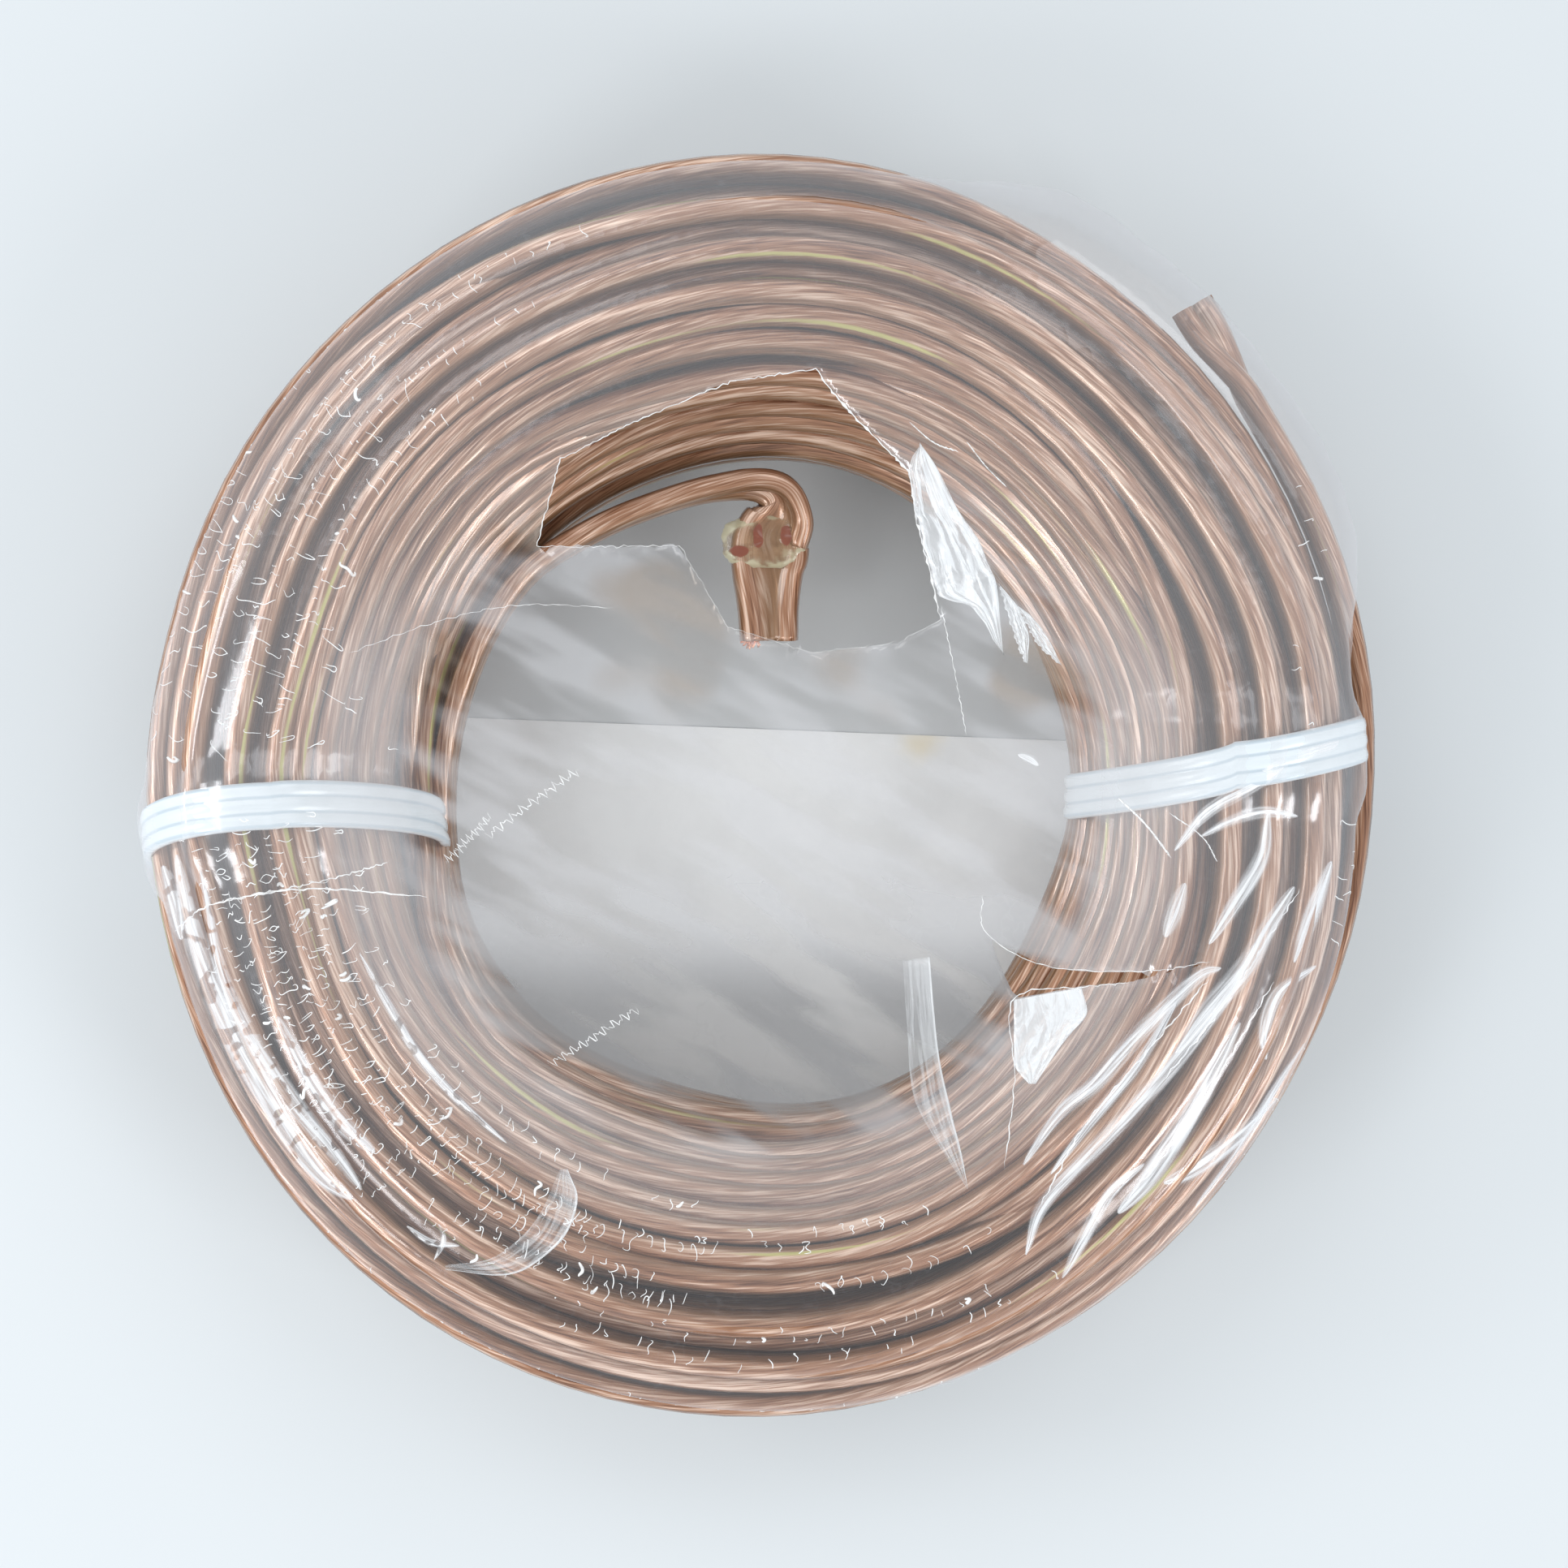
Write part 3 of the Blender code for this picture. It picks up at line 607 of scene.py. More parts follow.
def line_frames(middles):
    """Unit vectors ahead, level (to the right of ahead) and upright at each point of a line."""
    ahead = np.gradient(middles, axis=0)
    ahead /= np.linalg.norm(ahead, axis=1, keepdims=True)
    level = np.cross(ahead, [0.0, 0.0, 1.0])
    level /= np.linalg.norm(level, axis=1, keepdims=True)
    return ahead, level, np.cross(level, ahead)


def twin_outline(core_diameter, web_thickness, points_per_core):
    """Outline of the twin wire: two circles side by side, each left open where the web joins
    them. Gives the core's side (+1 or -1), and the place across and through the wire from that
    core's middle."""
    radius = core_diameter / 2
    gap = math.asin(web_thickness / 2 / radius)
    turn = np.linspace(-(math.pi - gap), math.pi - gap, points_per_core)
    across = np.concatenate([radius * np.cos(turn), -radius * np.cos(turn)])
    through = np.concatenate([radius * np.sin(turn), -radius * np.sin(turn)])
    side = np.repeat([1.0, -1.0], points_per_core)
    return side, across, through


def grid_faces(rows, columns, wrap_rows=False, wrap_columns=False):
    """Corner numbers of the faces of a grid of points, row by row, and of where each corner
    lies in the grid before wrapping."""
    row_count = rows if wrap_rows else rows - 1
    column_count = columns if wrap_columns else columns - 1
    row, column = np.meshgrid(np.arange(row_count), np.arange(column_count), indexing="ij")
    row_corners = np.stack([row, row, row + 1, row + 1], axis=-1).reshape(-1, 4)
    column_corners = np.stack([column, column + 1, column + 1, column], axis=-1).reshape(-1, 4)
    corners = (row_corners % rows) * columns + column_corners % columns
    return corners, row_corners, column_corners


def signed_volume(points, faces):
    """Volume that the faces close in: sum of a . (b x c) / 6 over fan triangles."""
    total = 0.0
    for part in faces:
        first = points[part[:, 0]]
        for corner in range(1, part.shape[1] - 1):
            second = points[part[:, corner]]
            third = points[part[:, corner + 1]]
            total += np.einsum("ij,ij->", first, np.cross(second, third)) / 6
    return total


def new_piece(name, points, faces, material, corner_uv=None, closed=True):
    """A smooth mesh piece from points and face arrays. A closed one is turned to face out."""
    if closed and signed_volume(points, faces) < 0:
        faces = [part[:, ::-1] for part in faces]
        if corner_uv is not None:
            corner_uv = [part[:, ::-1] for part in corner_uv]
    counts = np.concatenate([np.full(len(part), part.shape[1]) for part in faces])
    mesh = bpy.data.meshes.new(name)
    mesh.vertices.add(len(points))
    mesh.vertices.foreach_set("co", np.ascontiguousarray(points, np.float32).ravel())
    mesh.loops.add(int(counts.sum()))
    mesh.loops.foreach_set("vertex_index",
                           np.concatenate([part.ravel() for part in faces]).astype(np.int32))
    mesh.polygons.add(len(counts))
    mesh.polygons.foreach_set("loop_start", (np.cumsum(counts) - counts).astype(np.int32))
    mesh.polygons.foreach_set("use_smooth", np.ones(len(counts), bool))
    if corner_uv is not None:
        layer = mesh.uv_layers.new(name="Along")
        layer.data.foreach_set("uv", np.concatenate(
            [part.reshape(-1, 2) for part in corner_uv]).astype(np.float32).ravel())
    mesh.update(calc_edges=True)
    mesh.validate()
    mesh.materials.append(material)
    piece = bpy.data.objects.new(name, mesh)
    bpy.context.scene.collection.objects.link(piece)
    return piece


def tube_parts(rings, along, first=0):
    """Points, faces and corner UVs of a closed tube through rings of points (rows). The ends
    are fans to the rings' middles. U goes once round, and V is the distance along."""
    rows, columns = rings.shape[:2]
    faces, row_corners, column_corners = grid_faces(rows, columns, wrap_columns=True)
    points = np.vstack([rings.reshape(-1, 3), rings[0].mean(axis=0), rings[-1].mean(axis=0)])
    uv = np.stack([column_corners / columns, along[row_corners]], axis=-1)
    here = np.arange(columns)
    after = (here + 1) % columns
    caps = []
    cap_uv = []
    for row, middle, flip in ((0, rows * columns, 1), (rows - 1, rows * columns + 1, -1)):
        cap = np.stack([here + row * columns, np.full(columns, middle),
                        after + row * columns], axis=-1)[:, ::flip]
        caps.append(cap)
        cap_uv.append(np.stack([np.full(cap.shape, 0.25),
                                np.full(cap.shape, along[row])], axis=-1))
    caps = np.vstack(caps)
    return points, [faces + first, caps + first], [uv, np.vstack(cap_uv)]


class Graph:
    """A node tree with short calls that add nodes and join them."""

    def __init__(self, tree):
        self.tree = tree

    def feed(self, node, inputs):
        """Join each listed input of a node to an output, or set its value."""
        for key, value in inputs.items():
            if isinstance(value, bpy.types.NodeSocket):
                self.tree.links.new(value, node.inputs[key])
            else:
                node.inputs[key].default_value = value

    def node(self, kind, inputs, **settings):
        """Add a node, set its settings, and feed its inputs."""
        made = self.tree.nodes.new("ShaderNode" + kind)
        for name, value in settings.items():
            setattr(made, name, value)
        self.feed(made, inputs)
        return made

    def math(self, operation, *values):
        """A maths node's output."""
        return self.node("Math", dict(enumerate(values)), operation=operation).outputs[0]

    def times(self, first, second):
        """The product of two values."""
        return self.math("MULTIPLY", first, second)

    def plus(self, first, second):
        """The sum of two values."""
        return self.math("ADD", first, second)

    def most(self, first, second):
        """The larger of two values."""
        return self.math("MAXIMUM", first, second)

    def gap(self, first, second):
        """How far apart two values are."""
        return self.math("ABSOLUTE", self.math("SUBTRACT", first, second))

    def fit(self, value, low, high, new_low=0.0, new_high=1.0):
        """A value moved from one range to another, smoothly and kept inside."""
        return self.node("MapRange", {"Value": value, "From Min": low, "From Max": high,
                                      "To Min": new_low, "To Max": new_high},
                         interpolation_type="SMOOTHSTEP").outputs["Result"]

    def noise(self, vector, scale, detail=2.0, roughness=0.5, distortion=0.0):
        """A noise value from 0 to 1."""
        return self.node("TexNoise", {"Vector": vector, "Scale": scale, "Detail": detail,
                                      "Roughness": roughness, "Distortion": distortion},
                         noise_dimensions="3D").outputs["Fac"]

    def blend(self, factor, first, second):
        """One colour blended into another. Sockets 6 and 7 are the node's two colours."""
        return self.node("Mix", {"Factor": factor, 6: first, 7: second},
                         data_type="RGBA").outputs[2]

    def vector(self, x, y, z=0.0):
        """A vector from three values."""
        return self.node("CombineXYZ", {"X": x, "Y": y, "Z": z}).outputs[0]

    def place(self):
        """The piece's own coordinates."""
        return self.node("TexCoord", {}).outputs["Object"]

    def split(self, vector):
        """A vector's three values."""
        return self.node("SeparateXYZ", {0: vector}).outputs

    def along(self):
        """The piece's own U and V."""
        return self.split(self.node("UVMap", {}, uv_map="Along").outputs["UV"])

    def drawn_out(self, along, wide, long, shift=0.0):
        """The vector (wide U, long V, shift)."""
        return self.vector(self.times(along[0], wide), self.times(along[1], long), shift)

    def bump(self, shader, strength, distance, height):
        """Raise the surface by a height."""
        made = self.node("Bump", {"Strength": strength, "Distance": distance,
                                  "Height": height})
        self.feed(shader, {"Normal": made.outputs["Normal"]})


def colour4(colour, share=1.0):
    """A colour, or a darker share of it, with full alpha."""
    return (*(share * part for part in colour), 1.0)


def new_group(name, inputs, outputs):
    """An empty shader node group. Inputs are (name, kind, default), outputs (name, kind)."""
    tree = bpy.data.node_groups.new(name, "ShaderNodeTree")
    for label, kind, default in inputs:
        socket = tree.interface.new_socket(label, in_out="INPUT", socket_type=kind)
        socket.default_value = default
    for label, kind in outputs:
        tree.interface.new_socket(label, in_out="OUTPUT", socket_type=kind)
    given = tree.nodes.new("NodeGroupInput")
    return Graph(tree), given.outputs, tree.nodes.new("NodeGroupOutput")


def use_group(graph, name, inputs):
    """Place a group in a material and feed it. Gives its outputs."""
    return graph.node("Group", inputs, node_tree=bpy.data.node_groups[name]).outputs


def new_material(name):
    """A material with its graph and its Principled shader."""
    material = bpy.data.materials.new(name)
    material.use_nodes = True
    shader = material.node_tree.nodes["Principled BSDF"]
    return material, Graph(material.node_tree), shader


def build_strand_group():
    """Fine copper strands that run along the wire with a slight lay, with painted highlights on
    some strands and painted shade between them. Reads the wire's own coordinates: U round it
    and V metres along it."""
    graph, given, result = new_group(
        "copper_strands",
        [("Bright", COLOUR, (1, 1, 1, 1)), ("Plain", COLOUR, (1, 1, 1, 1)),
         ("Deep", COLOUR, (0, 0, 0, 1)), ("Edge", COLOUR, (0, 0, 0, 1)),
         ("Gleam", COLOUR, (0, 0, 0, 1))],
        [("Color", COLOUR), ("Height", VALUE), ("Roughness", VALUE)])
    place = graph.along()
    around = graph.times(place[0], 64.0)
    skewed = graph.plus(around, graph.times(place[1], 230.0))
    fine = graph.noise(graph.vector(skewed, graph.times(place[1], 85.0)), 1.0, 2.0, 0.66)
    crossing = graph.math("SUBTRACT", around, graph.times(place[1], 60.0))
    broad = graph.noise(graph.vector(crossing, graph.times(place[1], 38.0), 7.0), 0.32, 1.0)
    drift = graph.noise(graph.vector(place[0], graph.times(place[1], 6.0), 3.0), 1.6, 1.0)
    tone = graph.plus(graph.times(fine, 0.62), graph.times(broad, 0.38))
    # Painted highlights and painted shade along the strands: the tone picks deep, plain or bright
    # copper
    lower = graph.fit(tone, 0.32, 0.51)
    upper = graph.fit(graph.plus(tone, graph.times(drift, 0.10)), 0.53, 0.70)
    colour = graph.blend(lower, given["Deep"], given["Plain"])
    colour = graph.blend(upper, colour, given["Bright"])
    # Painted shade at each core's sides, where the turns meet, tinted the plastic's dark olive
    side = graph.math("POWER", graph.math("ABSOLUTE", graph.math(
        "SINE", graph.times(place[0], 2 * math.tau))), 3.0)
    colour = graph.blend(graph.times(side, 0.68), colour, given["Edge"])
    # Painted highlight: yellow-green gleams in a band at each core's side
    gleam = graph.noise(graph.drawn_out(place, 9.0, 16.0, 5.0), 1.0, 1.0)
    band = graph.times(graph.fit(side, 0.20, 0.45), graph.fit(side, 0.95, 0.70))
    colour = graph.blend(graph.times(band, graph.fit(gleam, 0.63, 0.69)), colour,
                         given["Gleam"])
    graph.feed(result, {"Color": colour, "Height": fine,
                        "Roughness": graph.fit(fine, 0.3, 0.7, 0.45, 0.28)})


def build_crinkle_group():
    """Creases of thin film: a sharp fold pattern over soft ripples."""
    graph, given, result = new_group("film_crinkle", [("Scale", VALUE, 1.0)],
                                     [("Height", VALUE), ("Crease", VALUE)])
    scaled = graph.node("VectorMath", {0: graph.place(), "Scale": given["Scale"]},
                        operation="SCALE").outputs[0]
    ridge = graph.gap(graph.noise(scaled, 150.0, 2.0, 0.6), 0.5)
    height = graph.math("SUBTRACT", graph.noise(scaled, 60.0, 1.0), graph.times(ridge, 0.7))
    graph.feed(result, {"Height": height, "Crease": graph.fit(ridge, 0.012, 0.0)})


def build_veil_group():
    """Broad effects of the film by place: a veil that is uneven over the bore and stronger over
    the coil's inner slope as a painted sheen, a painted copper-coloured reflection, painted grey
    shade over the lower half, and painted shade on the bottom sheet."""
    graph, given, result = new_group(
        "film_veil", [("Amount", VALUE, 1.0)],
        [(label, VALUE) for label in ("Veil", "PaintedReflection", "Shaded", "Under")])
    place = graph.place()
    x, y, z = graph.split(place)
    wide = graph.math("DIVIDE", x, SQUASH)
    radius = graph.math("SQRT", graph.plus(graph.times(wide, wide), graph.times(y, y)))
    inside = graph.fit(radius, 0.060, 0.050)
    slanting = graph.node("Mapping", {"Vector": place, "Rotation": (0, 0, -0.48),
                                      "Scale": (0.030, 0.0070, 1)},
                          vector_type="TEXTURE").outputs[0]
    streaks = graph.fit(graph.noise(slanting, 1.0), 0.40, 0.60)
    uneven = graph.times(graph.math("MULTIPLY_ADD", streaks, 1.5, -0.65), inside)
    # Painted sheen: the veil is stronger where the film over the inner slope catches the light
    slope = graph.times(graph.times(graph.fit(radius, 0.0525, 0.0560),
                                    graph.fit(radius, 0.0730, 0.0640)),
                        graph.fit(y, 0.040, 0.012))
    fading = graph.times(graph.fit(y, -0.100, -0.010, 0.30, 1.0),
                         graph.fit(y, 0.030, 0.060, 1.0, 0.82))
    veil = graph.plus(graph.plus(1.0, uneven), graph.times(slope, 0.95))
    # Painted shade: grey veil, with streaks, over the lower half of the bore
    low = graph.times(graph.fit(y, -0.008, -0.036), inside)
    veil = graph.plus(graph.times(veil, fading),
                      graph.times(low, graph.math("MULTIPLY_ADD", streaks, 1.2, 0.7)))
    # Painted shade: the bottom sheet inside the bore gets more cover and a dark tone
    under = graph.times(graph.fit(z, 0.004, 0.001), graph.fit(radius, 0.070, 0.060))
    # Painted reflection: a copper-coloured tint over the upper part of the bore
    warm_reflection = graph.times(graph.fit(graph.noise(place, 45.0, 1.0), 0.48, 0.60),
                       graph.fit(y, 0.004, 0.016))
    graph.feed(result, {"Veil": graph.times(veil, given["Amount"]), "Shaded": low,
                        "Under": under, "PaintedReflection": graph.times(warm_reflection, inside)})


def wire_material(wire):
    """Copper strands under glossy clear plastic."""
    material, graph, shader = new_material("clear_wire")
    strands = use_group(graph, "copper_strands", {
        "Bright": colour4(wire.copper_highlight), "Plain": colour4(wire.copper_mid),
        "Deep": colour4(wire.copper_gap_shade), "Edge": colour4(wire.olive_side_shade),
        "Gleam": colour4(wire.painted_edge_gleam)})
    graph.feed(shader, {"Base Color": strands["Color"], "Roughness": strands["Roughness"],
                        "Metallic": 0.45, "Specular IOR Level": 0.0, "Coat Weight": 1.0,
                        "Coat Roughness": 0.10, "Coat IOR": 1.5})
    graph.bump(shader, 0.5, 0.0002, strands["Height"])
    return material


def tie_material(tie):
    """Milky white plastic with faint draw lines and grey grooves."""
    material, graph, shader = new_material("tie_plastic")
    place = graph.place()
    lines = graph.noise(graph.node("Mapping", {"Vector": place, "Scale": (60, 900, 60)}
                                   ).outputs[0], 1.0)
    cloud = graph.noise(place, 140.0, 3.0)
    shade = graph.blend(graph.fit(cloud, 0.35, 0.7), colour4(tie.colour),
                        colour4(tie.colour, 0.93))
    around = graph.along()[0]
    grooves = 0.0
    for groove_place in (0.035, 0.163, 0.327, 0.455):
        grooves = graph.most(grooves, graph.fit(graph.gap(around, groove_place), 0.026, 0.006))
    shade = graph.blend(graph.times(grooves, 0.75), shade, colour4(tie.groove))
    graph.feed(shader, {"Base Color": shade, "Coat Weight": 0.4, "Coat Roughness": 0.12,
                        "Roughness": graph.fit(lines, 0.3, 0.7, 0.24, 0.42)})
    graph.bump(shader, 0.3, 0.0002, lines)
    return material


def card_material(card):
    """Uncoated card with a fine tooth, faint mottling, and a stain near its straight edge."""
    material, graph, shader = new_material("white_card")
    place = graph.place()
    tooth = graph.noise(place, 2600.0, 3.0, 0.7)
    mottle = graph.noise(place, 55.0, 4.0, 0.6)
    spot = graph.node("VectorMath", {0: place, 1: (0.0275, 0.0068, 0.0007)},
                      operation="DISTANCE").outputs["Value"]
    reach = graph.plus(spot, graph.times(mottle, 0.010))
    colour = graph.blend(graph.fit(mottle, 0.35, 0.70), colour4(card.colour),
                         colour4(card.colour, 0.93))
    colour = graph.blend(graph.fit(reach, 0.0105, 0.0055, 0.0, 0.5), colour,
                         colour4(card.stain))
    graph.feed(shader, {"Base Color": colour,
                        "Roughness": graph.fit(tooth, 0.3, 0.7, 0.62, 0.85)})
    graph.bump(shader, 0.25, 0.00005, tooth)
    return material


def film_material(film):
    """Thin clear film: it lets most light through, and throws more back at a slant, on its
    creases and on its uneven veil. Its creases carry faint painted glints, and over the bore it
    carries a painted reflection and painted shade."""
    material, graph, shader = new_material("clear_film")
    crinkle = use_group(graph, "film_crinkle", {"Scale": 1.0})
    place = use_group(graph, "film_veil", {"Amount": 1.0})
    slant = graph.node("LayerWeight", {"Blend": 0.35}).outputs["Facing"]
    gloss = graph.times(graph.math("POWER", slant, 2.2), 0.62)
    haze = graph.plus(graph.plus(gloss, graph.times(place["Veil"], film.haze)),
                      # Faint painted glints along the crinkle's fold lines
                      graph.times(crinkle["Crease"], 0.03))
    # Painted shade: more cover on the bottom sheet inside the bore
    cover = graph.most(haze, graph.times(place["Under"], 0.44))
    # Painted reflection of the copper over the upper part of the bore
    tint = graph.blend(place["PaintedReflection"], colour4(film.colour), (0.62, 0.52, 0.44, 1.0))
    # Painted shade over the lower half of the bore, and less gloss where painted shade lies
    tint = graph.blend(place["Shaded"], tint, colour4(film.painted_shade))
    tint = graph.blend(place["Under"], tint, colour4(film.painted_bottom_shade))
    painted_shade = graph.most(place["Shaded"], place["Under"])
    graph.feed(shader, {"Alpha": graph.math("MINIMUM", cover, 1.0), "Base Color": tint,
                        "Metallic": graph.fit(painted_shade, 0.05, 0.6, 0.45, 0.10),
                        "Roughness": 0.18})
    graph.bump(shader, 0.6, 0.0006, crinkle["Height"])
    return material


def clear_inner_material():
    """The film's inner face: clear, because the outer face carries all the film's gloss."""
    material, graph, shader = new_material("film_inner")
    tint = graph.blend(graph.noise(graph.place(), 60.0, 0.0), (0.90, 0.90, 0.90, 1.0),
                       (0.94, 0.94, 0.96, 1.0))
    graph.feed(shader, {"Base Color": tint, "Alpha": 0.0, "Roughness": 0.3})
    return material


def scrap_material(name, low, high, edge):
    """Crumpled or folded film: whiter streaks run along it, it is clearer between them, and its
    right edge carries a painted highlight by the given share."""
    material, graph, shader = new_material(name)
    place = graph.along()
    streak = graph.noise(graph.drawn_out(place, 5.0, 2.2), 1.3, 3.0, 0.6, 0.8)
    rim = graph.times(graph.fit(place[0], 0.88, 0.97), edge)
    graph.feed(shader, {"Alpha": graph.most(graph.fit(streak, 0.40, 0.60, low, high), rim),
                        "Base Color": (0.90, 0.93, 0.96, 1.0), "Metallic": 0.15,
                        "Roughness": 0.22})
    graph.bump(shader, 0.7, 0.0005, streak)
    return material


def sheen_fold_material(name, bars, strength):
    """Painted sheen of film drawn tight over the wires: soft white along the middle of each
    fold, broken by streaks along it and, by the given share, by dark bars across it."""
    material, graph, shader = new_material(name)
    place = graph.along()
    streak = graph.noise(graph.drawn_out(place, 6.0, 70.0), 1.0, 2.0, 0.6)
    bar = graph.noise(graph.drawn_out(place, 1.4, 420.0, 2.0), 1.0, 1.0)
    clear = graph.times(graph.fit(bar, 0.54, 0.62), bars)
    cover = graph.times(graph.fit(graph.gap(place[0], 0.5), 0.5, 0.05),
                        graph.fit(streak, 0.38, 0.64, 0.22, strength))
    graph.feed(shader, {"Alpha": graph.times(cover, graph.math("SUBTRACT", 1.0, clear)),
                        "Base Color": (0.90, 0.92, 0.95, 1.0), "Metallic": 0.10,
                        "Roughness": 0.30})
    graph.bump(shader, 0.3, 0.0003, streak)
    return material


def crease_glint_material():
    """Raised folds of the film, painted white as glints where they catch the light."""
    material, graph, shader = new_material("film_crease_glint")
    patchy = graph.noise(graph.place(), 420.0)
    graph.feed(shader, {"Alpha": graph.fit(patchy, 0.36, 0.56, 0.40, 1.0),
                        "Base Color": (0.95, 0.97, 0.98, 1.0), "Roughness": 0.25})
    return material


def crushed_material():
    """Crushed clear plastic: tan in the middle, cream towards its rim, and a few dark windows
    where the copper shows."""
    material, graph, shader = new_material("crushed_plastic")
    place = graph.place()
    cloud = graph.noise(place, 300.0)

    def nearness(middle, half):
        """How far a place is from a middle, in half sizes, a little uneven."""
        fitted = graph.node("Mapping", {"Vector": place, "Location": middle, "Scale": half},
                            vector_type="TEXTURE").outputs[0]
        reach = graph.node("VectorMath", {0: fitted}, operation="LENGTH").outputs["Value"]
        return graph.plus(reach, graph.times(cloud, 1.8))

    window = 0.0
    for middle, half in CRUSH_WINDOWS:
        opened = graph.fit(nearness((*middle, CRUSH_MIDDLE[2]), (*half, 0.01)), 2.05, 1.75)
        window = graph.most(window, opened)
    rim = graph.fit(nearness(CRUSH_MIDDLE, (*CRUSH_HALF[:2], 0.02)), 1.55, 1.95)
    tone = graph.blend(rim, (0.52, 0.34, 0.20, 1.0), (0.72, 0.69, 0.48, 1.0))
    cover = graph.most(graph.fit(cloud, 0.40, 0.66, 0.20, 0.48), graph.times(rim, 0.62))
    graph.feed(shader, {"Base Color": graph.blend(window, tone, (0.24, 0.065, 0.035, 1.0)),
                        "Alpha": graph.most(cover, graph.times(window, 0.92)),
                        "Roughness": 0.30, "Coat Weight": 0.6})
    graph.bump(shader, 0.4, 0.0004, cloud)
    return material


def bare_copper_material():
    """Bright cut copper."""
    material, graph, shader = new_material("bare_copper")
    tone = graph.fit(graph.noise(graph.place(), 1500.0), 0.35, 0.65)
    graph.feed(shader, {"Base Color": graph.blend(tone, (0.72, 0.20, 0.08, 1.0),
                                                  (0.95, 0.50, 0.32, 1.0)),
                        "Metallic": 0.8, "Roughness": 0.3})
    return material


def stage_material(stage):
    """Plain pale floor with barely visible mottling."""
    material, graph, shader = new_material("pale_floor")
    mottle = graph.fit(graph.noise(graph.place(), 9.0), 0.3, 0.7)
    graph.feed(shader, {"Base Color": graph.blend(mottle, colour4(stage.floor_colour),
                                                  colour4(stage.floor_colour, 0.985)),
                        "Roughness": 0.9, "Specular IOR Level": 0.0,
                        "Emission Color": (0.94, 0.98, 1.0, 1.0),
                        "Emission Strength": stage.floor_glow})
    return material


def tie_strip(side, place, tie, steps=120, across_steps=25):
    """Rings of the ribbed strip round the coil's section. At section angle a, the strip lies at
    power curves of cos a and sin a, and swings sideways to y = m + (wall - m) cos a
    + (top - m) sin a. Its outer face is ribbed: |sin| of the place across."""
    angle = np.linspace(0, math.tau, steps, endpoint=False)
    at_bore, at_top, at_wall = place
    middle = (at_bore + at_wall) / 2
    drift = middle + (at_wall - middle) * np.cos(angle) + (at_top - middle) * np.sin(angle)
    share = np.linspace(-1, 1, across_steps)
    outer = tie.thickness + tie.rib_height * np.abs(np.sin(math.pi / 2 * tie.ribs * (share + 1)))
    outer = outer * np.clip((1.04 - np.abs(share)) / 0.10, 0.45, 1.0)
    across = np.concatenate([share, share[::-1]]) * tie.width / 2
    out = np.concatenate([outer, 0 * outer])
    slopes = (np.cos(angle) < 0) & (np.sin(angle) > 0)
    power = np.where(slopes, INNER_SLOPE_POWER, SECTION_POWER)[:, None]
    grow = TIE_CLEARANCE + out[None, :]
    cosine = np.cos(angle)[:, None]
    sine = np.sin(angle)[:, None]
    radius = RING_RADIUS + (RING_HALF_WIDTH + grow) * np.sign(cosine) * np.abs(cosine) ** (
        2 / power)
    height = RING_MIDDLE_Z + (RING_HALF_HEIGHT + grow) * np.sign(sine) * np.abs(sine) ** (
        2 / power)
    y = drift[:, None] + across[None, :]
    x = side * SQUASH * np.sqrt(radius ** 2 - y ** 2)
    return np.stack([x, y, height], axis=-1)


def end_bulge(angle):
    """How far the film's wall stands out round the wire's outer end."""
    degrees = np.degrees(angle) % 360
    rise = np.minimum(smooth_step((degrees - 8) / 20), smooth_step((78 - degrees) / 20))
    reach = math.hypot(TAIL_START_RADIUS, TAIL_LENGTH) + CORE_HALF
    return (reach - OUTER_RADIUS + END_GAP) * rise


def tie_lift(x, y):
    """How far the film stands out over the ties: all of it within 4 mm of a tie's line, and
    none past 11 mm."""
    outer = smooth_step((np.hypot(x / SQUASH, y) - 0.080) / 0.018)
    line = np.where(x < 0, -0.0045 - 0.0040 * outer, 0.0040)
    return TIE_REACH * (1 - smooth_step((np.abs(y - line) - 0.004) / 0.007))


def crest_dip(radius, angle):
    """Dip of the film between the crests of wire: d (1 - max exp(-((r - c) / w)^2)), with a
    depth d that changes round the coil."""
    closeness = np.zeros_like(radius)
    for column in CREST_COLUMNS:
        near = np.exp(-((radius - COLUMNS[column][0]) / CREST_HALF) ** 2)
        closeness = np.maximum(closeness, near)
    depth = (DIP_DEPTH + DIP_CHANGES[0] * np.sin(3 * angle + 400 * radius)
             + DIP_CHANGES[1] * np.sin(7 * angle - 300 * radius))
    inside = smooth_step((radius - 0.064) / 0.006)
    return depth * inside * (1 - closeness)


